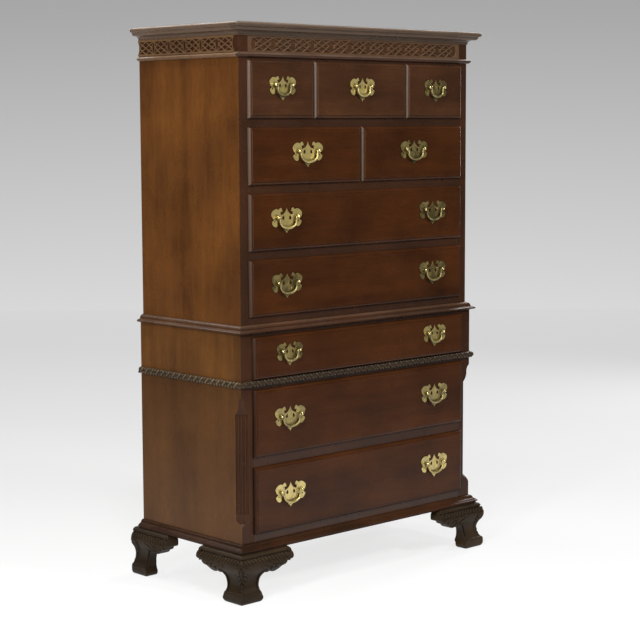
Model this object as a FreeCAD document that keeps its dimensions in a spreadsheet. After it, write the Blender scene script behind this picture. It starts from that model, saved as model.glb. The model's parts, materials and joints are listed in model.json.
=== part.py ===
"""A chest on chest: ten lipped drawers, a blind fret frieze, fluted lower corners and ogee bracket feet.

Frame: +Z up, +X to the right of someone who faces the chest, and the front faces -Y. The origin is on the
floor under the middle of the overall box. Lengths are millimetres.
"""
import FreeCAD
import Part
import Sketcher
import math
import os
import re

Vector = FreeCAD.Vector

# Driving dimensions: name, value, meaning.
SIZES = (
    ("case_width", 910, "outside width of the upper case"),
    ("case_depth", 436, "front plane to back plane of the upper case"),
    ("lower_step", 10, "lower case beyond the upper one at the front and sides"),
    ("side_thick", 20, "side boards of both cases"),
    ("board_thick", 20, "top board of the upper case and both bottom boards"),
    ("back_thick", 12, "back boards"),
    ("rail_depth", 29, "front rails, dividers, stiles and corner posts, front to back"),
    ("runner_width", 45, "side runners"),
    ("centre_runner_width", 70, "runners under the dividers"),
    ("guide_height", 22, "drawer guides above the runners"),
    ("upper_stile_show", 29.5, "side of the upper case to its drawer lips"),
    ("small_front_width", 238, "lips of the outer drawers of the first row"),
    ("front_gap", 6, "between the lips of neighbours in a row"),
    ("upper_front_height", 157.3, "lips of each upper drawer"),
    ("upper_rail_show", 23.6, "rail that shows between upper rows"),
    ("upper_base_show", 44.5, "bottom of the upper case to the lips of its lowest drawer"),
    ("upper_head_show", 21, "lips of the first row to the fret"),
    ("post_show", 41.5, "side of the lower case to its drawer lips"),
    ("fifth_height", 119, "lips of the fifth row"),
    ("sixth_height", 188.5, "lips of the sixth row"),
    ("seventh_height", 188, "lips of the seventh row"),
    ("carved_rail_show", 28, "rail between the fifth and sixth rows, which carries the carved moulding"),
    ("lower_rail_show", 28, "rail between the sixth and seventh rows"),
    ("lower_base_show", 46, "bottom of the lower case to the lips of its lowest drawer"),
    ("lower_head_show", 8, "lips of the fifth row to the top of the lower case"),
    ("lip_overlap", 4, "lips over the edge of the drawer opening"),
    ("lip_thick", 9.5, "lip in front of the case"),
    ("lip_gap", 0.3, "behind a closed lip"),
    ("edge_round", 7, "quarter round of the thumbnail edge"),
    ("edge_quirk", 2, "flat between the quarter round and the raised field"),
    ("field_rise", 1.5, "raised field of a drawer front"),
    ("block_thick", 16, "drawer front behind its lip"),
    ("fit_gap", 1, "drawer to each side of its opening"),
    ("top_gap", 1.5, "drawer to the top of its opening"),
    ("runner_gap", 0.3, "drawer above its runners"),
    ("drawer_wall", 11, "drawer sides and backs"),
    ("drawer_floor", 7, "drawer bottoms"),
    ("floor_lift", 9, "drawer bottom above the lower edge of the sides"),
    ("rear_space", 14, "behind a closed drawer"),
    ("cornice_out", 33, "cornice beyond the upper case"),
    ("cornice_height", 35.5, "cornice"),
    ("bead_out", 10, "bead under the fret, beyond the upper case"),
    ("bead_height", 14, "bead under the fret"),
    ("waist_out", 24, "waist moulding beyond the upper case"),
    ("waist_height", 24.5, "waist moulding"),
    ("carved_out", 12, "carved moulding beyond the lower case"),
    ("carved_height", 18, "carved moulding"),
    ("carved_gap", 2, "carved moulding to the lips of the fifth row"),
    ("base_out", 21, "base moulding beyond the lower case"),
    ("base_height", 24, "base moulding"),
    ("fret_height", 44, "fret strips"),
    ("fret_thick", 4, "fret strips"),
    ("fret_border", 3.5, "plain edge along the top and bottom of a fret strip"),
    ("fret_bar", 2.3, "bars of the fret"),
    ("front_lens_width", 23, "lenses of the front fret, over their bars"),
    ("side_lens_width", 17.5, "lenses of the side frets, over their bars"),
    ("front_periods", 11, "fret repeats on the front"),
    ("front_fret_margin", 21.5, "end of the front strip to its first lens"),
    ("side_periods", 6, "fret repeats on each side"),
    ("side_fret_start", 16, "front plane to the side strips"),
    ("cant_leg", 26, "cant of the lower corners, each way"),
    ("cant_top", 436, "bottom of the lower case to the top of the cant"),
    ("cant_bottom", 67, "bottom of the lower case to the foot of the cant"),
    ("tongue_top", 52, "length of the lamb's tongue at the top of the cant"),
    ("tongue_bottom", 20, "length of the lamb's tongue at its foot"),
    ("flute_stop", 18, "plain cant below the flutes"),
    ("flute_count", 4, "flutes on each cant"),
    ("flute_radius", 3, "flutes"),
    ("flute_pitch", 9.4, "flute to flute"),
    ("foot_height", 138, "bracket feet"),
    ("knee_out", 35, "knee of a bracket foot beyond the lower case"),
    ("bracket_length", 161, "bracket foot along the lower case"),
    ("bracket_inset", 10, "inner face of a bracket behind the face of the case"),
    ("rear_foot_length", 140, "scalloped length of a rear foot"),
    ("rear_foot_shift", 10, "back plane to the scalloped length of a rear foot"),
    ("rear_foot_out", 17, "rear foot behind the back plane"),
    ("plain_length", 105, "plain rear bracket, under the case"),
    ("plain_tip", 22, "plain rear bracket, at its lower end"),
    ("plain_height", 76, "plain rear bracket"),
    ("plain_thick", 18, "plain rear bracket"),
    ("glue_block", 34, "glue block inside a foot, each way"),
    ("glue_block_lift", 84, "glue block of a front foot, above the floor"),
    ("rear_block_lift", 75, "glue block of a rear foot, above the floor"),
    ("post_spacing", 76.2, "posts of a large pull, the old three inch boring"),
    ("small_post_spacing", 63.5, "posts of a small pull, the old two and a half inch boring"),
    ("pull_inset", 160, "side of the upper case to the middle of a pull on a wide drawer"),
    ("pull_rise", 13, "posts above the middle of the drawer front"),
    ("plate_width", 114, "large plate"),
    ("plate_top", 26, "posts to the top of a large plate"),
    ("plate_drop", 46, "posts to the bottom tip of a large plate"),
    ("small_plate_width", 97, "small plate"),
    ("small_plate_top", 24, "posts to the top of a small plate"),
    ("small_plate_drop", 44, "posts to the bottom tip of a small plate"),
    ("plate_thick", 1.6, "pull plates"),
    ("wing_hole_radius", 2.1, "small piercing in each lower wing of a plate"),
    ("post_stand", 8, "face of the plate to the pivot of the bail"),
    ("head_radius", 4.6, "ball head of a post"),
    ("neck_radius", 2.7, "post below its head"),
    ("collar_radius", 4.2, "post where it meets the plate"),
    ("collar_thick", 1.4, "post where it meets the plate"),
    ("shank_radius", 2.2, "post through the drawer front"),
    ("shank_gap", 0.2, "round the shank"),
    ("shank_spare", 1.5, "shank beyond its nut"),
    ("nut_width", 9, "square nut"),
    ("nut_thick", 3.5, "square nut"),
    ("pin_radius", 1.5, "ends of the bail"),
    ("pin_gap", 0.08, "round a pin of the bail"),
    ("pin_length", 6, "ends of the bail"),
    ("bail_end_gap", 0.6, "bail to the ball heads"),
    ("bail_elbow", 2.8, "bend below a pin"),
    ("bail_straight", 8, "straight arm below the elbow"),
    ("bail_drop", 31, "pivot to the middle of a large bail's bar"),
    ("small_bail_drop", 28, "pivot to the middle of a small bail's bar"),
    ("bail_end_radius", 2.2, "bail at its ends"),
    ("bail_belly_radius", 3.4, "bail at the middle of its bar"),
)

# Outlines of the mouldings, from the bottom of the inner face: shares of the moulding's projection and
# height, and the angle of the arc to the next point. A positive angle swells and a negative one hollows.
CORNICE = ((0, 0, 0), (0.08, 0, 0), (0.08, 0.16, -70), (0.6, 0.36, 60), (0.78, 0.6, 0), (0.84, 0.63, 80),
           (1, 0.79, 60), (0.87, 1, 0), (0, 1, 0))
BEAD = ((0, 0, 0), (0.2, 0, 60), (1, 0.46, 0), (1, 0.6, 60), (0.3, 0.86, -40), (0.1, 1, 0), (0, 1, 0))
WAIST = ((0, 0, 0), (0.43, 0, 0), (0.62, 0.1, 40), (0.98, 0.2, 40), (0.98, 0.32, 30), (0.72, 0.45, 0),
         (0.52, 0.52, 0), (0.5, 0.67, 70), (0.02, 1, 0), (0, 1, 0))
CARVED = ((0, 0, 0), (0.2, 0, 160), (0.2, 1, 0), (0, 1, 0))
BASE = ((0, 0, 0), (0.81, 0, 0), (0.79, 0.13, 0), (0.97, 0.2, 70), (0.97, 0.36, -40), (0.76, 0.5, 0),
        (0.5, 0.64, 70), (0.08, 1, 0), (0, 1, 0))

# Ogee face of a foot, from the floor: shares of the knee's projection and of the foot's height, and arcs.
OGEE = ((0.77, 0, 50), (0.94, 0.075, 15), (0.94, 0.175, 75), (0.8, 0.225, -42), (0.514, 0.413, -38.3),
        (0.7786, 0.6065, 38.3), (1, 0.768, 51), (0.73, 0.911, 90), (0.76, 0.96, 45), (0.49, 1, 0))

# Scalloped lower edge of a bracket, from its tip to the floor: shares of its length and of the foot's height.
SCALLOPS = ((0.93, 1, -60), (1, 0.82, -80), (0.963, 0.754, 0), (0.851, 0.732, -100), (0.764, 0.648, 0),
            (0.733, 0.63, -90), (0.49, 0.576, -60), (0.379, 0.569, 60), (0.255, 0.29, 40), (0.292, 0.1, -70),
            (0.242, 0, 0))

# Right half of a pull plate, from its top tip round to its bottom tip: shares of the half width and of the
# height above the posts, or of the drop where they are negative, and arc angles.
PLATE = ((0, 0.96, 12), (0.06, 0.66, 24), (0.2, 0.33, 40), (0.3, 0.25, 60), (0.42, 0.24, -150),
         (0.44, 0.48, 40), (0.29, 0.58, -50), (0.37, 0.98, -50), (0.5, 0.82, 70), (0.6, 0.84, -30),
         (0.72, 0.86, -50), (1, 0.4, -70), (0.82, -0.13, 50), (0.97, -0.26, -80), (0.72, -0.6, -50),
         (0.6, -0.5, 20), (0.56, -0.28, 170), (0.49, -0.3, 0), (0.4, -0.5, 30), (0.18, -0.76, -30),
         (0.08, -0.86, 30))
TEARDROP = ((0.2, 0.16, -40), (0.3, -0.06, -150), (0.17, -0.14, -60))
WING_HOLE = (0.785, -0.26)

# Centre line of the bail: the turn of the first of its two arcs below the arm, in degrees.
BAIL_TURN = 60

# Room that a cutter takes beyond the piece that it cuts.
CUT_SPARE = 10


doc = FreeCAD.newDocument("chest_on_chest")
sheet = doc.addObject("Spreadsheet::Sheet", "Sizes")
for row, (size_name, size_value, meaning) in enumerate(SIZES, start=1):
    sheet.set(f"A{row}", meaning)
    sheet.set(f"B{row}", str(size_value))
    sheet.setAlias(f"B{row}", size_name)
doc.recompute()

SIZE_WORD = re.compile(r"\b(" + "|".join(size[0] for size in SIZES) + r")\b")


def bound(expression):
    """The expression with each size named as a cell of the sheet."""
    return SIZE_WORD.sub(r"Sizes.\1", str(expression))


def value(expression):
    """The number that an expression of sizes comes to."""
    return float(sheet.evalExpression(bound(expression)))


# Planes of the two cases.
HALF_UPPER = "(case_width / 2)"
HALF_LOWER = "(case_width / 2 + lower_step)"
BACK = "((case_depth + lower_step + knee_out - rear_foot_out) / 2)"
BACK_FACE = f"({BACK} - back_thick)"
UPPER_FRONT = f"({BACK} - case_depth)"
LOWER_FRONT = f"({UPPER_FRONT} - lower_step)"

# Widths over the drawer lips, and half the openings behind them.
UPPER_WIDTH = "(case_width - 2 * upper_stile_show)"
LOWER_WIDTH = "(case_width + 2 * lower_step - 2 * post_show)"
UPPER_OPENING = f"({UPPER_WIDTH} / 2 - lip_overlap)"
LOWER_OPENING = f"({LOWER_WIDTH} / 2 - lip_overlap)"
DIVIDER = "(front_gap + 2 * lip_overlap)"

# Levels from the floor up: the bottom of the lips in each row, and what lies between the rows.
LOWER_BOTTOM = "foot_height"
SEVENTH = f"({LOWER_BOTTOM} + lower_base_show)"
SIXTH = f"({SEVENTH} + seventh_height + lower_rail_show)"
FIFTH = f"({SIXTH} + sixth_height + carved_rail_show)"
WAIST_LEVEL = f"({FIFTH} + fifth_height + lower_head_show)"
UPPER_PITCH = "(upper_front_height + upper_rail_show)"
FOURTH = f"({WAIST_LEVEL} + upper_base_show)"
THIRD = f"({FOURTH} + {UPPER_PITCH})"
SECOND = f"({FOURTH} + 2 * {UPPER_PITCH})"
FIRST = f"({FOURTH} + 3 * {UPPER_PITCH})"
FRET_BOTTOM = f"({FIRST} + upper_front_height + upper_head_show)"
FRET_TOP = f"({FRET_BOTTOM} + fret_height)"
BEAD_BOTTOM = f"({FRET_BOTTOM} - bead_height)"
TOP = f"({FRET_TOP} + cornice_height)"
SIDES_TOP = f"({TOP} - board_thick)"

# Middles of the drawers in the two divided rows, and the widths of their lips.
OUTER_X = f"(({UPPER_WIDTH} - small_front_width) / 2)"
MIDDLE_WIDTH = f"({UPPER_WIDTH} - 2 * small_front_width - 2 * front_gap)"
HALF_ROW_WIDTH = f"(({UPPER_WIDTH} - front_gap) / 2)"
HALF_ROW_X = f"(({UPPER_WIDTH} + front_gap) / 4)"

# The two patterns of pull: post spacing, width, top and drop of the plate, and drop of the bail.
PATTERNS = {
    "large": ("post_spacing", "plate_width", "plate_top", "plate_drop", "bail_drop"),
    "small": ("small_post_spacing", "small_plate_width", "small_plate_top", "small_plate_drop",
              "small_bail_drop"),
}

# Drawers: name, middle, lip width, lip bottom, lip height, front plane of the case, and the pattern and
# offsets of the pulls.
ONE_PULL = (("", "0"),)
TWO_PULLS = (("_left", "(pull_inset - case_width / 2)"), ("_right", "(case_width / 2 - pull_inset)"))
UPPER_LIP = "upper_front_height"
DRAWERS = (
    ("first_left", f"-{OUTER_X}", "small_front_width", FIRST, UPPER_LIP, UPPER_FRONT, "small", ONE_PULL),
    ("first_middle", "0", MIDDLE_WIDTH, FIRST, UPPER_LIP, UPPER_FRONT, "small", ONE_PULL),
    ("first_right", OUTER_X, "small_front_width", FIRST, UPPER_LIP, UPPER_FRONT, "small", ONE_PULL),
    ("second_left", f"-{HALF_ROW_X}", HALF_ROW_WIDTH, SECOND, UPPER_LIP, UPPER_FRONT, "large", ONE_PULL),
    ("second_right", HALF_ROW_X, HALF_ROW_WIDTH, SECOND, UPPER_LIP, UPPER_FRONT, "large", ONE_PULL),
    ("third", "0", UPPER_WIDTH, THIRD, UPPER_LIP, UPPER_FRONT, "large", TWO_PULLS),
    ("fourth", "0", UPPER_WIDTH, FOURTH, UPPER_LIP, UPPER_FRONT, "large", TWO_PULLS),
    ("fifth", "0", LOWER_WIDTH, FIFTH, "fifth_height", LOWER_FRONT, "small", TWO_PULLS),
    ("sixth", "0", LOWER_WIDTH, SIXTH, "sixth_height", LOWER_FRONT, "large", TWO_PULLS),
    ("seventh", "0", LOWER_WIDTH, SEVENTH, "seventh_height", LOWER_FRONT, "large", TWO_PULLS),
)


def board(label, low, high):
    """A straight board between two corners."""
    box = doc.addObject("Part::Box", label)
    for side, near, far in zip(("Length", "Width", "Height"), low, high):
        box.setExpression(side, bound(f"({far}) - ({near})"))
    for axis, near in zip("xyz", low):
        box.setExpression(f"Placement.Base.{axis}", bound(near))
    return box


def board_pair(label, low, high):
    """A board and its twin on the other side of the middle plane."""
    twin_low = (f"-({high[0]})", low[1], low[2])
    twin_high = (f"-({low[0]})", high[1], high[2])
    return [board(f"{label}_right", low, high), board(f"{label}_left", twin_low, twin_high)]


def mirrored(label, source, base=None, normal=Vector(1, 0, 0)):
    """A mirror image, across the middle plane unless another plane is given."""
    twin = doc.addObject("Part::Mirroring", label)
    twin.Source = source
    twin.Normal = normal
    for axis, place in zip("xyz", base or ()):
        twin.setExpression(f"Base.{axis}", bound(place))
    return twin


def node(label, pieces):
    """A sub-part of one or more separate solids."""
    group = doc.addObject("Part::Compound", label)
    group.Links = pieces
    return group


def new_sketch(body, name, role, offset="0"):
    """A sketch on one of the body's own origin planes, moved along that plane's normal."""
    sketch = body.newObject("Sketcher::SketchObject", name)
    plane = [feature for feature in body.Origin.OriginFeatures if feature.Role == role][0]
    sketch.AttachmentSupport = [(plane, "")]
    sketch.MapMode = "FlatFace"
    sketch.setExpression("AttachmentOffset.Base.z", bound(offset))
    return sketch


def add_bound(sketch, constraints):
    """Constraints with the expressions that drive them."""
    first = sketch.ConstraintCount
    sketch.addConstraint([constraint for constraint, _ in constraints])
    for index, (_, expression) in enumerate(constraints, start=first):
        if expression:
            sketch.setExpression(f"Constraints[{index}]", bound(expression))


def segment(start, end, sweep):
    """A straight line, or the arc that turns by so many degrees from start to end."""
    if sweep == 0:
        return Part.LineSegment(start, end)
    chord = end - start
    half = math.radians(sweep) / 2
    left = Vector(-chord.y, chord.x, 0)
    centre = (start + end) * 0.5 + left * (0.5 / math.tan(half))
    radius = (start - centre).Length
    first, last = (start, end) if sweep > 0 else (end, start)
    angles = [math.atan2(point.y - centre.y, point.x - centre.x) for point in (first, last)]
    circle = Part.Circle(centre, Vector(0, 0, 1), radius)
    return Part.ArcOfCircle(circle, angles[0], angles[0] + (angles[1] - angles[0]) % (2 * math.pi))


def draw(sketch, points):
    """A closed outline: each point is x, y and the angle of the arc to the next point, 0 for a line."""
    first = sketch.GeometryCount
    count = len(points)
    places = [Vector(value(x), value(y), 0) for x, y, _ in points]
    edges = [segment(places[i], places[(i + 1) % count], points[i][2]) for i in range(count)]
    sketch.addGeometry(edges, False)
    constraints = []
    for i, (x, y, sweep) in enumerate(points):
        start = 1 if sweep >= 0 else 2
        before = points[i - 1][2]
        end_before = 2 if before >= 0 else 1
        last = first + (i - 1) % count
        constraints.append((Sketcher.Constraint("Coincident", last, end_before, first + i, start), None))
        constraints.append((Sketcher.Constraint("DistanceX", -1, 1, first + i, start, places[i].x), x))
        constraints.append((Sketcher.Constraint("DistanceY", -1, 1, first + i, start, places[i].y), y))
        if sweep:
            constraints.append((Sketcher.Constraint("Angle", first + i, math.radians(abs(sweep))), None))
    add_bound(sketch, constraints)


def draw_rectangle(sketch, low_x, low_y, high_x, high_y):
    """An upright rectangle between two corners."""
    draw(sketch, ((low_x, low_y, 0), (high_x, low_y, 0), (high_x, high_y, 0), (low_x, high_y, 0)))


def draw_circle(sketch, x, y, radius):
    """A circle about a point."""
    index = sketch.GeometryCount
    circle = Part.Circle(Vector(value(x), value(y), 0), Vector(0, 0, 1), value(radius))
    sketch.addGeometry(circle, False)
    add_bound(sketch, [
        (Sketcher.Constraint("DistanceX", -1, 1, index, 3, value(x)), x),
        (Sketcher.Constraint("DistanceY", -1, 1, index, 3, value(y)), y),
        (Sketcher.Constraint("Radius", index, value(radius)), radius),
    ])


def pad(body, sketch, length, side="One side", backwards=False):
    """The sketch raised along its normal."""
    feature = body.newObject("PartDesign::Pad", f"{sketch.Name}_pad")
    feature.Profile = sketch
    feature.SideType = side
    feature.Reversed = backwards
    feature.setExpression("Length", bound(length))
    return feature


def cut_through(body, sketch):
    """The sketch cut right through the body, both ways from its plane."""
    feature = body.newObject("PartDesign::Pocket", f"{sketch.Name}_cut")
    feature.Profile = sketch
    feature.SideType = "Symmetric"
    feature.Type = "ThroughAll"
    return feature


def new_body(label):
    """An empty body."""
    return doc.addObject("PartDesign::Body", label)


def moulding(label, outline, projection, height, half_width, front, bottom):
    """A moulding round the front and sides of a case: three lengths with mitred corners."""
    reach = f"({projection} + {CUT_SPARE})"

    long_piece = new_body(f"{label}_front")
    profile = new_sketch(long_piece, f"{label}_front_profile", "YZ_Plane")
    draw(profile, [(f"{front} - {out} * {projection}", f"{bottom} + {up} * {height}", -sweep)
                   for out, up, sweep in outline])
    pad(long_piece, profile, f"2 * ({half_width} + {projection})", side="Symmetric")
    mitre = new_sketch(long_piece, f"{label}_front_mitre", "XY_Plane", bottom)
    for side in ("", "-"):
        inner = f"{side}{half_width}"
        outer = f"{side}({half_width} + {reach})"
        draw(mitre, ((inner, front, 0), (outer, front, 0), (outer, f"{front} - {reach}", 0)))
    cut_through(long_piece, mitre)

    return_piece = new_body(f"{label}_right")
    profile = new_sketch(return_piece, f"{label}_right_profile", "XZ_Plane", f"-{BACK}")
    draw(profile, [(f"{half_width} + {out} * {projection}", f"{bottom} + {up} * {height}", sweep)
                   for out, up, sweep in outline])
    pad(return_piece, profile, f"{BACK} - {front} + {projection}")
    mitre = new_sketch(return_piece, f"{label}_right_mitre", "XY_Plane", bottom)
    draw(mitre, ((half_width, front, 0), (half_width, f"{front} - {reach}", 0),
                 (f"{half_width} + {reach}", f"{front} - {reach}", 0)))
    cut_through(return_piece, mitre)

    return node(label, [long_piece, return_piece, mirrored(f"{label}_left", return_piece)])


def fret_cells(period, half_height, half_lens, half_bar):
    """Openings between the bars of one repeat of the fret, which runs from lens to lens, as wires."""
    def offset_line(start, end):
        direction = (end - start).normalize()
        inward = Vector(-direction.y, direction.x, 0)
        return start + inward * half_bar, direction

    def meeting(line, other):
        (start, along), (second, across) = line, other
        turn = along.x * across.y - along.y * across.x
        gap = second - start
        return start + along * ((gap.x * across.y - gap.y * across.x) / turn)

    def cell(corners):
        lines = [offset_line(corners[i], corners[(i + 1) % len(corners)]) for i in range(len(corners))]
        inner = [meeting(lines[i - 1], lines[i]) for i in range(len(lines))]
        return Part.makePolygon(inner + inner[:1])

    middle = period / 2
    slope = 2 * half_height / period
    rise = half_height / (middle - half_lens)
    cross_x = (half_height + rise * half_lens) / (slope + rise)
    cross_y = half_height - slope * cross_x
    tip = Vector(0, half_height, 0)
    crown = Vector(middle, half_height, 0)
    lens_side = Vector(half_lens, 0, 0)
    crossing = Vector(cross_x, cross_y, 0)
    centre = Vector(middle, 0, 0)

    def flip_x(point):
        return Vector(period - point.x, point.y, 0)

    def flip_y(point):
        return Vector(point.x, -point.y, 0)

    wires = [cell((centre, flip_x(crossing), crown, crossing)),
             cell((centre, crossing, lens_side, flip_y(crossing))),
             cell([flip_y(p) for p in (crossing, crown, flip_x(crossing), centre)]),
             cell([flip_x(p) for p in (flip_y(crossing), lens_side, crossing, centre)])]
    for corners in ((crossing, crown, tip), (crossing, tip, lens_side)):
        turned = corners[::-1]
        wires.append(cell(corners))
        wires.append(cell([flip_x(p) for p in turned]))
        wires.append(cell([flip_y(p) for p in turned]))
        wires.append(cell([flip_x(flip_y(p)) for p in corners]))
    return wires


def lens_wire(half_height, half_width, half=False):
    """A pointed lens about the origin, or its right half."""
    top = Vector(0, half_height, 0)
    bottom = Vector(0, -half_height, 0)
    edges = [Part.Arc(bottom, Vector(half_width, 0, 0), top).toShape()]
    if half:
        edges.append(Part.makeLine(top, bottom))
    else:
        edges.append(Part.Arc(top, Vector(-half_width, 0, 0), bottom).toShape())
    return Part.Wire(edges)


def fret_strip(label, length, margin, periods, lens_width, open_ends):
    """A pierced strip along +X from the origin, +Y up from its lower edge, +Z its thickness."""
    height = value("fret_height")
    thick = value("fret_thick")
    half_bar = value("fret_bar") / 2
    half_cells = height / 2 - value("fret_border")
    half_lens = lens_width / 2 - half_bar
    period = (length - 2 * margin) / periods
    lens_height = half_cells - half_bar
    lens_half_width = half_lens - half_bar
    middle = Vector(margin, height / 2, 0)

    outline = Part.makePolygon([Vector(0, 0, 0), Vector(length, 0, 0), Vector(length, height, 0),
                                Vector(0, height, 0), Vector(0, 0, 0)])
    openings = []
    for repeat in range(periods):
        for wire in fret_cells(period, half_cells, half_lens, half_bar):
            wire.translate(middle + Vector(repeat * period, 0, 0))
            openings.append(wire)
    for repeat in range(1 if open_ends else 0, periods + (0 if open_ends else 1)):
        lens = lens_wire(lens_height, lens_half_width)
        lens.translate(middle + Vector(repeat * period, 0, 0))
        openings.append(lens)

    strip = Part.Face(outline).extrude(Vector(0, 0, thick))
    holes = Part.makeCompound([Part.Face(wire).extrude(Vector(0, 0, thick)) for wire in openings])
    strip = strip.cut(holes)
    if open_ends:
        for place, turn in ((0, 0), (length, 180)):
            half = Part.Face(lens_wire(lens_height, lens_half_width, half=True)).extrude(Vector(0, 0, thick))
            half.rotate(Vector(0, 0, 0), Vector(0, 0, 1), turn)
            half.translate(Vector(place, height / 2, 0))
            strip = strip.cut(half)
    piece = doc.addObject("Part::Feature", label)
    piece.Shape = strip.Solids[0]
    return piece


def upper_case():
    """The boards and rails of the upper case."""
    side = f"({HALF_UPPER} - side_thick)"
    sides = board_pair("upper_side", (side, UPPER_FRONT, WAIST_LEVEL), (HALF_UPPER, BACK, SIDES_TOP))
    rail_back = f"({UPPER_FRONT} + rail_depth)"
    stiles = board_pair("upper_stile", (UPPER_OPENING, UPPER_FRONT, WAIST_LEVEL),
                        (side, rail_back, SIDES_TOP))
    node("upper_sides", sides + stiles)

    rails = []
    below = WAIST_LEVEL
    for name, row in (("fourth", FOURTH), ("third", THIRD), ("second", SECOND), ("first", FIRST)):
        above = f"({row} + lip_overlap)"
        rails.append(board(f"rail_below_{name}", (f"-{UPPER_OPENING}", UPPER_FRONT, below),
                           (UPPER_OPENING, rail_back, above)))
        below = f"({row} + upper_front_height - lip_overlap)"
    rails.append(board("rail_above_first", (f"-{UPPER_OPENING}", UPPER_FRONT, below),
                       (UPPER_OPENING, rail_back, FRET_BOTTOM)))
    rails.append(board("frieze_board", (f"-{UPPER_OPENING}", f"{UPPER_FRONT} + fret_thick", FRET_BOTTOM),
                       (UPPER_OPENING, rail_back, SIDES_TOP)))
    for name, middle, row in divider_places():
        top = f"{row} + upper_front_height - lip_overlap"
        rails.append(board(f"divider_{name}",
                           (f"{middle} - {DIVIDER} / 2", UPPER_FRONT, f"{row} + lip_overlap"),
                           (f"{middle} + {DIVIDER} / 2", rail_back, top)))
    node("upper_rails", rails)


def divider_places():
    """The upright dividers of the two divided rows: name, middle and lip level."""
    first_x = f"({MIDDLE_WIDTH} / 2 + front_gap / 2)"
    return (("first_left", f"-{first_x}", FIRST), ("first_right", first_x, FIRST), ("second", "0", SECOND))


def lower_case():
    """The boards, rails and fluted corner posts of the lower case."""
    post_back = f"({LOWER_FRONT} + rail_depth)"
    side = f"({HALF_LOWER} - side_thick)"
    sides = board_pair("lower_side", (side, post_back, LOWER_BOTTOM), (HALF_LOWER, BACK, WAIST_LEVEL))
    node("lower_sides", sides)

    rails = []
    below = LOWER_BOTTOM
    rows = (("seventh", SEVENTH, "seventh_height"), ("sixth", SIXTH, "sixth_height"),
            ("fifth", FIFTH, "fifth_height"))
    for name, row, height in rows:
        above = f"({row} + lip_overlap)"
        rails.append(board(f"rail_below_{name}", (f"-{LOWER_OPENING}", LOWER_FRONT, below),
                           (LOWER_OPENING, post_back, above)))
        below = f"({row} + {height} - lip_overlap)"
    rails.append(board("rail_above_fifth", (f"-{LOWER_OPENING}", LOWER_FRONT, below),
                       (LOWER_OPENING, post_back, WAIST_LEVEL)))
    node("lower_rails", rails)

    right = corner_post()
    node("corner_posts", [right, mirrored("corner_post_left", right)])


def corner_post():
    """The right corner post: a square post with a stopped cant and flutes."""
    post = board("corner_post_blank", (LOWER_OPENING, LOWER_FRONT, LOWER_BOTTOM),
                 (HALF_LOWER, f"{LOWER_FRONT} + rail_depth", WAIST_LEVEL))
    depth = "(cant_leg / sqrt(2))"
    far = f"({depth} + {CUT_SPARE})"
    top = f"({LOWER_BOTTOM} + cant_top)"
    foot = f"({LOWER_BOTTOM} + cant_bottom)"

    # The cutter is drawn across the corner: x runs inwards from the corner along the diagonal, y is up.
    cutter = new_body("cant_cutter")
    cutter.Placement.Rotation = FreeCAD.Rotation(Vector(0, 0, 1), 135)
    cutter.setExpression("Placement.Base.x", bound(HALF_LOWER))
    cutter.setExpression("Placement.Base.y", bound(LOWER_FRONT))
    profile = new_sketch(cutter, "cant_profile", "XZ_Plane")
    draw(profile, ((f"-{far}", foot, 0), ("0", foot, -50), (depth, f"{foot} + tongue_bottom", 0),
                   (depth, f"{top} - tongue_top", -45), (f"{depth} * 0.45", f"{top} - tongue_top * 0.4", 45),
                   ("0", top, 0), (f"-{far}", top, 0)))
    pad(cutter, profile, "4 * cant_leg", side="Symmetric")

    flutes = []
    count = int(value("flute_count"))
    for index in range(count):
        flute = doc.addObject("Part::Cylinder", f"flute_{index + 1}")
        step = f"({index} - (flute_count - 1) / 2) * flute_pitch / sqrt(2)"
        flute.setExpression("Radius", bound("flute_radius"))
        flute.setExpression("Height", bound("cant_top - cant_bottom - tongue_top - tongue_bottom - flute_stop"))
        flute.setExpression("Placement.Base.x", bound(f"{HALF_LOWER} - cant_leg / 2 + {step}"))
        flute.setExpression("Placement.Base.y", bound(f"{LOWER_FRONT} + cant_leg / 2 + {step}"))
        flute.setExpression("Placement.Base.z", bound(f"{foot} + tongue_bottom + flute_stop"))
        flutes.append(flute)

    cutters = doc.addObject("Part::MultiFuse", "corner_cutters")
    cutters.Shapes = [cutter] + flutes
    shaped = doc.addObject("Part::Cut", "corner_post_right")
    shaped.Base = post
    shaped.Tool = cutters
    return shaped


def case_boards():
    """The top and bottom boards of both cases, and the back boards."""
    upper_side = f"({HALF_UPPER} - side_thick)"
    lower_side = f"({HALF_LOWER} - side_thick)"
    upper_start = f"({UPPER_FRONT} + rail_depth)"
    lower_start = f"({LOWER_FRONT} + rail_depth)"
    node("case_boards", [
        board("upper_top", (f"-{HALF_UPPER}", UPPER_FRONT, SIDES_TOP), (HALF_UPPER, BACK, TOP)),
        board("upper_bottom", (f"-{upper_side}", upper_start, WAIST_LEVEL),
              (upper_side, BACK_FACE, f"{WAIST_LEVEL} + board_thick")),
        board("lower_top", (f"-{lower_side}", lower_start, f"{FIFTH} + fifth_height - lip_overlap"),
              (lower_side, BACK_FACE, WAIST_LEVEL)),
        board("lower_bottom", (f"-{lower_side}", lower_start, LOWER_BOTTOM),
              (lower_side, BACK_FACE, f"{LOWER_BOTTOM} + board_thick")),
    ])

    backs = []
    for name, side, bottom, top, count in (("upper_back", upper_side, WAIST_LEVEL, SIDES_TOP, 3),
                                           ("lower_back", lower_side, LOWER_BOTTOM, WAIST_LEVEL, 2)):
        width = f"(({top} - {bottom}) / {count})"
        for index in range(count):
            low = f"{bottom} + {index} * {width}"
            high = f"{bottom} + {index + 1} * {width}"
            backs.append(board(f"{name}_{index + 1}", (f"-{side}", BACK_FACE, low), (side, BACK, high)))
    node("back_boards", backs)


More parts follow.
